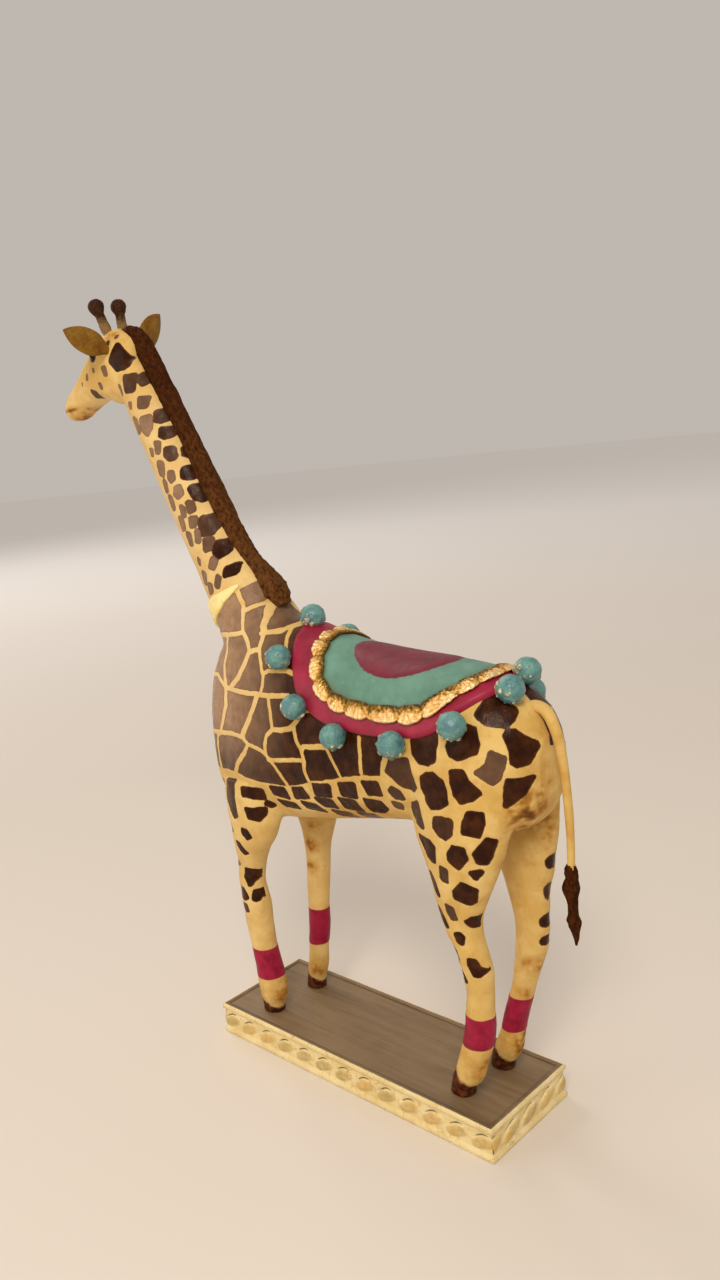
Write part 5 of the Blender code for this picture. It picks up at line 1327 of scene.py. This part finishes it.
def make_moulding(name, length, distance, direction, paint):
    """One moulding with mitred ends and its carved band; direction is the way it faces."""
    outward = np.array(direction)
    along = np.array([-outward[1], outward[0], 0.0])
    count = int(length / MOULDING_STEP)
    rings, reliefs, shelf = [], [], []
    for step in range(count + 1):
        share = 2.0 * step / count - 1.0
        ring = []
        for out, height in moulding_outline():
            place = share * (length * 0.5 + out)
            in_band = BOTTOM_RAIL < height < PLINTH_HEIGHT - TOP_RAIL
            relief = leaf_relief(place, height) if in_band and out > 0.0 else 0.0
            worn = noise.noise(Vector((place * 0.25, height * 0.4, distance))) if out > 0.0 else 0.0
            reach = distance + out + LEAF_HEIGHT * relief + MOULDING_WEAR * worn
            ring.append(outward * reach + along * place + np.array([0.0, 0.0, height]))
            reliefs.append(relief if in_band else RAIL_LEVEL)
            shelf.append(MOULDING_THICKNESS - out if height > PLINTH_HEIGHT - 0.1 else -1.0)
        rings.append(ring)
    bm = bmesh.new()
    loft_mesh(bm, rings)
    piece = make_object(name + "_carved", bm, (name,), paint)
    store(piece.data, "relief", reliefs)
    store(piece.data, "shelf", shelf)
    return piece


def make_board(paint):
    """Plinth board with a slightly uneven, worn top."""
    wide = PLINTH_WIDTH - 2.0 * MOULDING_THICKNESS - BOARD_GAP
    long = PLINTH_LENGTH - 2.0 * MOULDING_THICKNESS - BOARD_GAP
    bm = bmesh.new()
    grid = []
    for row in range(BOARD_ROWS + 1):
        line = []
        for column in range(BOARD_COLUMNS + 1):
            x, y = wide * (column / BOARD_COLUMNS - 0.5), long * (row / BOARD_ROWS - 0.5)
            hollow = 0.10 * noise.noise(Vector((x * 0.35, y * 0.03, 0.0)))
            grain = 0.05 * noise.noise(Vector((x, y * 0.1, 4.0)))
            line.append(bm.verts.new((x, y, BOARD_HEIGHT + (hollow + grain) - BOARD_SINK)))
        grid.append(line)
    for lower, upper in zip(grid, grid[1:]):
        for column in range(BOARD_COLUMNS):
            bm.faces.new((lower[column], lower[column + 1], upper[column + 1], upper[column]))
    border = [edge for edge in bm.edges if edge.is_boundary]
    made = bmesh.ops.extrude_edge_only(bm, edges=border)
    for item in made["geom"]:
        if isinstance(item, bmesh.types.BMVert):
            item.co.z = 0.0
    bmesh.ops.holes_fill(bm, edges=[edge for edge in bm.edges if edge.is_boundary], sides=0)
    return make_object("plinth_board_worn", bm, ("plinth_board",), paint)


def make_plinth(board_paint, moulding_paint):
    """The board and the four mouldings round it."""
    make_board(board_paint)
    width = PLINTH_WIDTH - 2.0 * MOULDING_THICKNESS
    length = PLINTH_LENGTH - 2.0 * MOULDING_THICKNESS
    for side, sign in SIDES.items():
        make_moulding("moulding_" + side, length, width * 0.5, (sign, 0.0, 0.0), moulding_paint)
    for end, sign in (("rear", 1.0), ("front", -1.0)):
        make_moulding("moulding_" + end, width, length * 0.5, (0.0, sign, 0.0), moulding_paint)


# ================================================================ materials
class Nodes:
    """A material under construction, with short names for the nodes it uses."""

    def __init__(self, name):
        self.material = bpy.data.materials.new(name)
        self.material.use_nodes = True
        self.tree = self.material.node_tree
        self.shader = self.tree.nodes["Principled BSDF"]
        self.place = self.tree.nodes.new("ShaderNodeTexCoord").outputs["Object"]

    def link(self, source, target):
        self.tree.links.new(source, target)

    def put(self, value, socket):
        """Link an output, or set a plain value."""
        if isinstance(value, bpy.types.NodeSocket):
            self.link(value, socket)
        else:
            socket.default_value = (*value, 1.0) if isinstance(value, tuple) and len(value) == 3 else value

    def noise(self, size, detail=3.0, roughness=0.55, stretch=(1.0, 1.0, 1.0), distortion=0.0):
        """Noise with features of the given size in mm."""
        mapping = self.tree.nodes.new("ShaderNodeMapping")
        mapping.inputs["Scale"].default_value = stretch
        self.link(self.place, mapping.inputs["Vector"])
        node = self.tree.nodes.new("ShaderNodeTexNoise")
        node.inputs["Scale"].default_value = 1000.0 / size
        node.inputs["Detail"].default_value = detail
        node.inputs["Roughness"].default_value = roughness
        node.inputs["Distortion"].default_value = distortion
        self.link(mapping.outputs["Vector"], node.inputs["Vector"])
        return node.outputs["Fac"]

    def cells(self, size):
        """Distance to the edges of cells of the given size in mm, for cracks."""
        node = self.tree.nodes.new("ShaderNodeTexVoronoi")
        node.feature = "DISTANCE_TO_EDGE"
        node.inputs["Scale"].default_value = 1000.0 / size
        self.link(self.place, node.inputs["Vector"])
        return node.outputs["Distance"]

    def height(self):
        """Height of the shaded point in metres."""
        split = self.tree.nodes.new("ShaderNodeSeparateXYZ")
        self.link(self.place, split.inputs[0])
        return split.outputs["Z"]

    def stored(self, name):
        """A number that store() kept on the mesh."""
        node = self.tree.nodes.new("ShaderNodeAttribute")
        node.attribute_name = name
        return node.outputs["Fac"]

    def ramp(self, value, low, high, start=0.0, end=1.0):
        """Straight change from start to end as a value goes from low to high."""
        node = self.tree.nodes.new("ShaderNodeMapRange")
        self.put(value, node.inputs["Value"])
        node.inputs["From Min"].default_value = low
        node.inputs["From Max"].default_value = high
        node.inputs["To Min"].default_value = start
        node.inputs["To Max"].default_value = end
        return node.outputs["Result"]

    def math(self, operation, first, second=0.0):
        node = self.tree.nodes.new("ShaderNodeMath")
        node.operation = operation
        self.put(first, node.inputs[0])
        self.put(second, node.inputs[1])
        return node.outputs[0]

    def mix(self, share, first, second):
        """Colour between first and second."""
        node = self.tree.nodes.new("ShaderNodeMix")
        node.data_type = "RGBA"
        self.put(share, node.inputs[0])
        self.put(first, node.inputs[6])
        self.put(second, node.inputs[7])
        return node.outputs[2]

    def blend(self, share, first, second):
        """Number between first and second."""
        node = self.tree.nodes.new("ShaderNodeMix")
        node.data_type = "FLOAT"
        self.put(share, node.inputs[0])
        self.put(first, node.inputs[2])
        self.put(second, node.inputs[3])
        return node.outputs[0]

    def finish(self, colour, roughness, height=None, depth=0.1, metallic=0.0, coat=0.0, coat_roughness=0.2,
               specular=0.5):
        """Connect the shader; depth is the bump's height in mm."""
        self.put(colour, self.shader.inputs["Base Color"])
        self.put(roughness, self.shader.inputs["Roughness"])
        self.put(metallic, self.shader.inputs["Metallic"])
        self.shader.inputs["Coat Weight"].default_value = coat
        self.shader.inputs["Coat Roughness"].default_value = coat_roughness
        self.shader.inputs["Specular IOR Level"].default_value = specular
        if height is not None:
            bump = self.tree.nodes.new("ShaderNodeBump")
            bump.inputs["Distance"].default_value = depth * MM
            bump.inputs["Strength"].default_value = 1.0
            self.link(height, bump.inputs["Height"])
            self.link(bump.outputs["Normal"], self.shader.inputs["Normal"])
        return self.material


CREAM = (0.62, 0.390, 0.108)
CREAM_PALE = (0.73, 0.515, 0.190)
# paler cream for the painted sheen on the chest and for the neck
CREAM_SHEEN_AND_WEAR = (0.80, 0.590, 0.300)
OCHRE = (0.49, 0.235, 0.038)
# brown of stains and of painted shade
STAIN_AND_SHADE = (0.14, 0.052, 0.010)
PATCH_DARK = (0.024, 0.0050, 0.0008)
PATCH_BROWN = (0.066, 0.019, 0.0035)
# pale tan of some patches, also used for the painted sheen on the chest's dark field
PATCH_TAN_AND_SHEEN = (0.42, 0.255, 0.150)
PATCH_RIM = (0.13, 0.050, 0.016)
HOOF_DARK = (0.040, 0.009, 0.004)
HOOF_RED = (0.17, 0.045, 0.016)
EYE_BLACK = (0.010, 0.005, 0.004)
EYE_LID = (0.10, 0.042, 0.014)
MANE_DARK = (0.026, 0.0055, 0.0006)
MANE_BROWN = (0.090, 0.024, 0.0020)
MANE_PALE = (0.21, 0.088, 0.022)
RASPBERRY = (0.37, 0.015, 0.055)
RASPBERRY_DARK = (0.21, 0.008, 0.026)
SEAT_RED = (0.185, 0.009, 0.028)
SEAT_RED_DARK = (0.125, 0.006, 0.018)
TURQUOISE = (0.145, 0.305, 0.235)
TURQUOISE_DARK = (0.085, 0.20, 0.152)
TURQUOISE_PALE = (0.23, 0.46, 0.36)
TAUPE_DARK = (0.150, 0.094, 0.045)
TAUPE = (0.255, 0.170, 0.090)
TAUPE_PALE = (0.27, 0.19, 0.105)
HORN_DARK = (0.022, 0.0065, 0.003)
HORN_BROWN = (0.085, 0.030, 0.009)
HORN_FOOT = (0.33, 0.20, 0.075)
HORN_FOOT_TOP, HORN_FOOT_LOW = 0.4285, 0.4200   # metres: the stalks turn paler between these
EAR_OCHRE = (0.24, 0.125, 0.010)
EAR_BROWN = (0.155, 0.055, 0.006)
EAR_PALE = (0.36, 0.22, 0.04)
COLLAR_YELLOW = (0.86, 0.68, 0.22)
COLLAR_PALE = (0.93, 0.77, 0.34)
COLLAR_WORN = (0.60, 0.40, 0.12)
# darker olive along the braid's edges
BRAID_EDGE_OLIVE = (0.14, 0.10, 0.015)
GOLD_FOLD = (0.10, 0.052, 0.005)
GOLD_DEEP = (0.42, 0.22, 0.030)
GOLD = (0.88, 0.50, 0.15)
# painted highlight on the braid's crests
GOLD_HIGHLIGHT = (1.0, 0.76, 0.40)
GLAZE_DEEP = (0.050, 0.175, 0.195)
GLAZE_GREEN = (0.150, 0.335, 0.300)
GLAZE_BLUE = (0.066, 0.165, 0.240)
GRIT_GOLD = (0.30, 0.155, 0.035)
GRIT_CREAM = (0.84, 0.74, 0.48)
GRIME = (0.075, 0.060, 0.020)
MOULDING_CREAM = (0.74, 0.58, 0.26)
MOULDING_PALE = (0.84, 0.70, 0.38)
WASH_OCHRE = (0.66, 0.40, 0.10)
WASH_OLIVE = (0.46, 0.34, 0.12)
WASH_BLOTCH = (0.60, 0.37, 0.10)
CRACK_BROWN = (0.20, 0.12, 0.04)
# painted shade in the moulding's cuts
CUT_SHADE = (0.085, 0.045, 0.014)
WOOD_DARK, WOOD_PALE = (0.50, 0.33, 0.17), (0.66, 0.48, 0.28)
STEEL_DARK, STEEL_PALE = (0.42, 0.41, 0.39), (0.60, 0.59, 0.57)
MANE_PALE_FROM, MANE_PALE_SPAN = 0.385, 0.12    # metres: the mane pales downwards over this span


def body_paint():
    """Cream ground, glossy brown patches, raspberry leg bands, hooves, eyes, stains with painted shade, and
    a painted sheen on the chest.
    """
    n = Nodes("painted_body")
    cream = n.mix(n.ramp(n.noise(16.0, 3.0), 0.38, 0.66), CREAM, CREAM_PALE)
    mottle = n.ramp(n.noise(9.0, 5.0, 0.65), 0.54, 0.74)
    cream = n.mix(n.math("MULTIPLY", mottle, 0.55), cream, OCHRE)
    flecks = n.ramp(n.noise(1.6, 2.0), 0.68, 0.76)
    cream = n.mix(n.math("MULTIPLY", flecks, 0.28), cream, OCHRE)
    # painted sheen: the cream on the chest is painted paler
    cream = n.mix(n.ramp(n.stored("worn"), 0.0, 1.0, 0.0, 0.75), cream, CREAM_SHEEN_AND_WEAR)
    # stains and painted shade: first ochre, then brown
    stain_and_shade = n.stored("stain_and_shade")
    cream = n.mix(n.ramp(stain_and_shade, 0.05, 0.55), cream, OCHRE)
    cream = n.mix(n.ramp(stain_and_shade, 0.40, 1.00), cream, STAIN_AND_SHADE)
    brush = n.noise(2.6, 3.0, 0.6)
    edge = n.math("ADD", n.stored("patch"), n.ramp(brush, 0.3, 0.7, -0.16, 0.16))
    inside = n.ramp(edge, -0.12, 0.16)
    deep = n.mix(n.ramp(n.noise(7.0, 4.0, 0.6), 0.42, 0.72), PATCH_DARK, PATCH_BROWN)
    # tone holds the patches' own tan and the painted sheen on the chest
    tone = n.math("MULTIPLY", n.stored("tone"), n.ramp(n.noise(5.0, 3.0), 0.3, 0.7, 0.75, 1.15))
    patch = n.mix(tone, deep, PATCH_TAN_AND_SHEEN)
    rim = n.ramp(edge, 0.9, 0.2)
    patch = n.mix(n.math("MULTIPLY", rim, 0.35), patch, PATCH_RIM)
    colour = n.mix(inside, cream, patch)
    band = n.ramp(n.stored("band"), -0.25, 0.15)
    pink = n.mix(n.ramp(n.noise(6.0, 4.0, 0.6), 0.35, 0.7), RASPBERRY, RASPBERRY_DARK)
    colour = n.mix(band, colour, pink)
    hoof = n.ramp(n.math("ADD", n.stored("hoof"), n.ramp(brush, 0.3, 0.7, -0.8, 0.8)), -1.0, 0.6)
    hoof_colour = n.mix(n.ramp(n.noise(3.0, 3.0), 0.4, 0.7), HOOF_DARK, HOOF_RED)
    colour = n.mix(hoof, colour, hoof_colour)
    lid = n.ramp(n.stored("eye"), -1.5, -0.9)
    colour = n.mix(n.math("MULTIPLY", lid, 0.85), colour, EYE_LID)
    ball = n.ramp(n.stored("eye"), -0.75, -0.55)
    colour = n.mix(ball, colour, EYE_BLACK)
    matt, gloss = n.ramp(brush, 0.3, 0.7, 0.42, 0.60), n.ramp(n.noise(4.0, 3.0), 0.3, 0.7, 0.20, 0.40)
    rough = n.blend(inside, matt, gloss)
    rough = n.blend(n.math("MAXIMUM", band, hoof), rough, 0.36)
    rough = n.blend(ball, rough, 0.08)
    strokes = n.noise(1.1, 3.0, 0.6, (1.0, 1.0, 0.35))
    height = n.math("ADD", n.math("MULTIPLY", strokes, 0.5), n.noise(4.5, 3.0, 0.55))
    return n.finish(colour, rough, height, 0.30, specular=0.11)


def bristle_paint(name, dark, light, pale_below=None):
    """Coarse hair carved and painted in short strokes; it may grow paler below a height in metres."""
    n = Nodes(name)
    strokes = n.noise(1.3, 4.0, 0.7, (1.0, 0.45, 0.45))
    colour = n.mix(n.ramp(strokes, 0.38, 0.70), dark, light)
    colour = n.mix(n.ramp(n.noise(8.0, 3.0), 0.45, 0.75, 0.0, 0.6), colour, dark)
    if pale_below:
        low = n.ramp(n.height(), pale_below, pale_below - MANE_PALE_SPAN)
        worn = n.math("MULTIPLY", low, n.ramp(strokes, 0.3, 0.6))
        colour = n.mix(n.math("MULTIPLY", worn, 0.55), colour, MANE_PALE)
    return n.finish(colour, n.ramp(strokes, 0.3, 0.7, 0.8, 0.55), strokes, 0.9, specular=0.06)


def horn_paint():
    """Dark hairy knobs on stalks that fade to a paler brown at the foot."""
    n = Nodes("horn_paint")
    strokes = n.noise(1.3, 4.0, 0.7)
    fade = n.ramp(n.height(), HORN_FOOT_TOP, HORN_FOOT_LOW)
    foot = n.math("ADD", fade, n.ramp(strokes, 0.3, 0.7, -0.25, 0.25))
    dark = n.mix(n.ramp(strokes, 0.38, 0.70), HORN_DARK, HORN_BROWN)
    colour = n.mix(n.ramp(foot, 0.25, 1.0, 0.0, 0.75), dark, HORN_FOOT)
    return n.finish(colour, 0.6, strokes, 0.6, specular=0.10)


def ear_paint():
    """Ochre ears with brown clouds and pale flecks."""
    n = Nodes("ear_paint")
    colour = n.mix(n.ramp(n.noise(7.0, 3.0), 0.36, 0.66), EAR_OCHRE, EAR_BROWN)
    colour = n.mix(n.ramp(n.noise(1.6, 3.0), 0.55, 0.75, 0.0, 0.5), colour, EAR_PALE)
    return n.finish(colour, 0.5, n.noise(1.4, 3.0), 0.25, specular=0.12)


def collar_paint():
    """Pale yellow collar, worn darker in spots."""
    n = Nodes("collar_paint")
    colour = n.mix(n.ramp(n.noise(8.0, 3.0), 0.35, 0.65), COLLAR_YELLOW, COLLAR_PALE)
    colour = n.mix(n.ramp(n.noise(3.0, 4.0), 0.60, 0.80, 0.0, 0.6), colour, COLLAR_WORN)
    return n.finish(colour, 0.42, n.noise(2.2, 3.0), 0.25, coat=0.15)


def saddle_paint():
    """Raspberry border, turquoise field and raspberry seat, brushed by hand."""
    n = Nodes("saddle_paint")
    brush = n.noise(3.0, 4.0, 0.6)
    cloudy = n.noise(15.0, 3.0)
    pink = n.mix(n.ramp(cloudy, 0.35, 0.7), RASPBERRY, RASPBERRY_DARK)
    green = n.mix(n.ramp(cloudy, 0.32, 0.7), TURQUOISE, TURQUOISE_DARK)
    green = n.mix(n.ramp(n.noise(5.0, 3.0), 0.6, 0.8, 0.0, 0.4), green, TURQUOISE_PALE)
    rim = n.math("ADD", n.stored("rim"), n.ramp(brush, 0.3, 0.7, -0.008, 0.008))
    colour = n.mix(n.ramp(rim, 0.795, 0.805), green, pink)
    # darker olive band on the cloth along both edges of the braid
    braid_edge_band = n.math("MULTIPLY", n.ramp(rim, 0.70, 0.78), n.ramp(rim, 0.90, 0.82))
    colour = n.mix(n.math("MULTIPLY", braid_edge_band, 0.55), colour, BRAID_EDGE_OLIVE)
    seat = n.math("ADD", n.stored("seat"), n.ramp(brush, 0.3, 0.7, -0.3, 0.3))
    red = n.mix(n.ramp(cloudy, 0.35, 0.7), SEAT_RED, SEAT_RED_DARK)
    colour = n.mix(n.ramp(seat, -0.2, 0.2), colour, red)
    return n.finish(colour, n.ramp(brush, 0.3, 0.7, 0.36, 0.52), brush, 0.16, specular=0.32)


def braid_paint():
    """Gold leaf on crimped braid, darker olive in the folds and towards the inner edge, with a painted
    highlight on the highest crests.
    """
    n = Nodes("gold_braid")
    level = n.math("ADD", n.stored("level"), n.ramp(n.noise(1.5, 3.0), 0.3, 0.7, -0.35, 0.35))
    # colour follows the braid's height: darker in the folds, painted highlight on the highest crests
    colour = n.mix(n.ramp(level, 0.6, 1.3), GOLD_FOLD, GOLD_DEEP)
    colour = n.mix(n.ramp(level, 1.2, 1.8), colour, GOLD)
    colour = n.mix(n.ramp(level, 1.8, 2.5), colour, GOLD_HIGHLIGHT)
    rough = n.ramp(n.noise(1.2, 3.0), 0.3, 0.7, 0.28, 0.48)
    return n.finish(colour, rough, n.noise(0.8, 3.0, 0.65), 0.30, metallic=0.7)


def bead_paint():
    """Turquoise glaze, bluer and greener in turns, with a crust of cream and gold grit."""
    n = Nodes("bead_glaze")
    blotch = n.noise(5.5, 4.0, 0.6)
    colour = n.mix(n.ramp(blotch, 0.34, 0.66), GLAZE_DEEP, GLAZE_GREEN)
    colour = n.mix(n.ramp(n.noise(7.0, 2.0), 0.54, 0.66, 0.0, 0.6), colour, GLAZE_BLUE)
    crust = n.math("ADD", n.stored("crust"), n.ramp(n.noise(1.4, 2.0), 0.3, 0.7, -0.18, 0.18))
    grains = n.mix(n.ramp(n.noise(1.7, 2.0), 0.42, 0.60), GRIT_GOLD, GRIT_CREAM)
    colour = n.mix(n.math("MULTIPLY", n.ramp(crust, 0.26, 0.42), 0.92), colour, grains)
    dark = n.ramp(n.noise(2.0, 4.0, 0.7, (1.0, 1.3, 0.8)), 0.60, 0.68)
    colour = n.mix(n.math("MULTIPLY", dark, 0.6), colour, GRIME)
    rough = n.ramp(blotch, 0.3, 0.7, 0.24, 0.46)
    return n.finish(colour, rough, n.noise(1.0, 3.0), 0.35, coat=0.12, coat_roughness=0.15)


def taupe(n):
    """Taupe wash with grain along the board and scuffs; colour and grain."""
    grain = n.noise(5.0, 6.0, 0.62, (1.0, 0.06, 1.0), 0.3)
    fine = n.noise(1.4, 4.0, 0.6, (1.0, 0.05, 1.0))
    colour = n.mix(n.ramp(grain, 0.30, 0.70), TAUPE_DARK, TAUPE)
    colour = n.mix(n.ramp(fine, 0.58, 0.75, 0.0, 0.35), colour, TAUPE_DARK)
    colour = n.mix(n.ramp(n.noise(28.0, 3.0), 0.5, 0.75, 0.0, 0.5), colour, TAUPE_PALE)
    return colour, grain, fine


def board_paint():
    """The board's own taupe."""
    n = Nodes("plinth_board")
    colour, grain, fine = taupe(n)
    return n.finish(colour, n.ramp(grain, 0.3, 0.7, 0.40, 0.58), fine, 0.22, specular=0.35)


def moulding_paint():
    """Cream paint, ochre and olive washes over the leaves, painted shade in the cuts, and the board's taupe
    on top.
    """
    n = Nodes("plinth_moulding")
    cream = n.mix(n.ramp(n.noise(12.0, 3.0), 0.35, 0.65), MOULDING_CREAM, MOULDING_PALE)
    relief = n.math("ADD", n.stored("relief"), n.ramp(n.noise(2.5, 4.0, 0.65), 0.3, 0.7, -0.12, 0.12))
    wash = n.mix(n.ramp(n.noise(40.0, 2.0), 0.42, 0.58), WASH_OCHRE, WASH_OLIVE)
    patchy = n.ramp(n.noise(3.5, 4.0, 0.65), 0.25, 0.6, 0.35, 0.95)
    colour = n.mix(n.math("MULTIPLY", n.ramp(relief, 0.20, 0.75), patchy), cream, wash)
    colour = n.mix(n.ramp(n.noise(5.0, 4.0, 0.7), 0.52, 0.74, 0.0, 0.6), colour, WASH_BLOTCH)
    crack = n.math("MULTIPLY", n.ramp(n.cells(6.0), 0.035, 0.0), n.ramp(n.noise(9.0, 2.0), 0.50, 0.60))
    colour = n.mix(n.math("MULTIPLY", crack, 0.5), colour, CRACK_BROWN)
    # painted shade in the cuts above the leaves
    colour = n.mix(n.ramp(relief, -0.22, -0.55, 0.0, 0.9), colour, CUT_SHADE)
    top, _, _ = taupe(n)
    shelf = n.math("ADD", n.stored("shelf"), n.ramp(n.noise(3.0, 3.0), 0.3, 0.7, -0.12, 0.12))
    colour = n.mix(n.ramp(shelf, 0.95, 1.15), colour, top)
    return n.finish(colour, 0.5, n.noise(1.2, 3.0), 0.18, specular=0.38)


def bare_wood():
    """Unpainted dowel wood with grain along the dowel."""
    n = Nodes("bare_dowel")
    grain = n.noise(2.0, 5.0, 0.6, (1.0, 1.0, 0.1))
    return n.finish(n.mix(grain, WOOD_DARK, WOOD_PALE), 0.7, grain, 0.1)


def screw_steel():
    """Scuffed bright steel."""
    n = Nodes("screw_steel")
    scuff = n.noise(0.8, 4.0)
    colour = n.mix(scuff, STEEL_DARK, STEEL_PALE)
    return n.finish(colour, n.ramp(scuff, 0.3, 0.7, 0.28, 0.5), scuff, 0.04, metallic=1.0)


def paint_hidden_nodes(nodes):
    """Dowels and screws keep their CAD shapes and get real materials."""
    for ending, paint in (("dowel", bare_wood()), ("foot_screw", screw_steel())):
        for name, node in nodes.items():
            if name.endswith(ending):
                node.data.materials.clear()
                node.data.materials.append(paint)


# ================================================================ stage, camera and light
SURROUND_COLOUR, SURROUND_STRENGTH = (0.84, 0.77, 0.70, 1.0), 0.62
FLOOR_RADIUS = 8.0
FLOOR_NEAR = (0.74, 0.68, 0.62)
# the far floor is painted paler as painted light, standing in for lamp light that does not reach it
FLOOR_FAR = (0.96, 0.94, 0.93)
FLOOR_FADE = (0.6, 3.0)      # metres from the middle


def make_stage():
    """Plain pale floor, painted paler far out as painted light so that it fades into a pale surround."""
    mesh = bpy.data.meshes.new("floor")
    bm = bmesh.new()
    bmesh.ops.create_circle(bm, cap_ends=True, segments=96, radius=FLOOR_RADIUS)
    bm.to_mesh(mesh)
    bm.free()
    floor = bpy.data.objects.new("floor", mesh)
    bpy.context.scene.collection.objects.link(floor)
    n = Nodes("floor_paint")
    reach = n.tree.nodes.new("ShaderNodeVectorMath")
    reach.operation = "LENGTH"
    n.link(n.place, reach.inputs[0])
    # painted light: the floor grows paler with distance from the middle
    colour = n.mix(n.ramp(reach.outputs["Value"], *FLOOR_FADE), FLOOR_NEAR, FLOOR_FAR)
    mesh.materials.append(n.finish(colour, 0.85, specular=0.1))
    world = bpy.data.worlds.new("surround")
    world.use_nodes = True
    background = world.node_tree.nodes["Background"]
    background.inputs["Color"].default_value = SURROUND_COLOUR
    background.inputs["Strength"].default_value = SURROUND_STRENGTH
    bpy.context.scene.world = world


LIGHT_TARGET = (0.0, 0.0, 0.24)
# name, place, side of its square in metres, watts, colour
LIGHTS = [
    ("key", (0.95, 0.75, 1.30), 0.55, 15.5, (1.0, 0.91, 0.78)),
    ("side", (1.25, -0.75, 0.55), 0.8, 4.0, (1.0, 0.88, 0.72)),
    ("sheen", (-0.50, -2.60, 2.10), 1.8, 29.0, (1.0, 0.93, 0.86)),
]


def make_lights():
    """Soft square lights that face the figure."""
    for name, place, size, power, colour in LIGHTS:
        lamp = bpy.data.lights.new(name, "AREA")
        lamp.shape = "RECTANGLE"
        lamp.size = lamp.size_y = size
        lamp.energy = power
        lamp.color = colour
        holder = bpy.data.objects.new(name, lamp)
        holder.location = place
        facing = Vector(LIGHT_TARGET) - Vector(place)
        holder.rotation_euler = facing.to_track_quat("-Z", "Y").to_euler()
        bpy.context.scene.collection.objects.link(holder)


def make_camera():
    """Camera at the angle from which the figure was first seen."""
    data = bpy.data.cameras.new("camera")
    data.sensor_width = CAMERA_SENSOR
    data.lens = CAMERA_LENS
    data.clip_start = 0.01
    camera = bpy.data.objects.new("camera", data)
    camera.location = CAMERA_PLACE
    camera.rotation_euler = Euler([math.radians(angle) for angle in CAMERA_TURN], "XYZ")
    bpy.context.scene.collection.objects.link(camera)
    bpy.context.scene.camera = camera
    bpy.context.scene.view_settings.view_transform = "Standard"


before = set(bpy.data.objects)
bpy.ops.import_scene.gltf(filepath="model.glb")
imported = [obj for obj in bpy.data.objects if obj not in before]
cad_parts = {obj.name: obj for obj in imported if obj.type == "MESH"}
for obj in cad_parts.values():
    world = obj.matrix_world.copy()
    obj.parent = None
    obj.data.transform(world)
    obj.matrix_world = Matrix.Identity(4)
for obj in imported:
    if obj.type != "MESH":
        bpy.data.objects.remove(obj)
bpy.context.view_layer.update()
make_camera()
make_stage()
make_lights()
coat = body_paint()
skin = make_animal(coat)
make_mane(bristle_paint("mane_paint", MANE_DARK, MANE_BROWN, pale_below=MANE_PALE_FROM))
make_collar(collar_paint(), skin)
make_ears(ear_paint())
make_horns(horn_paint())
make_tail(coat, bristle_paint("tuft_paint", MANE_DARK, MANE_BROWN))
make_saddle(saddle_paint())
make_braid(braid_paint())
make_beads(bead_paint())
make_plinth(board_paint(), moulding_paint())
paint_hidden_nodes(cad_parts)
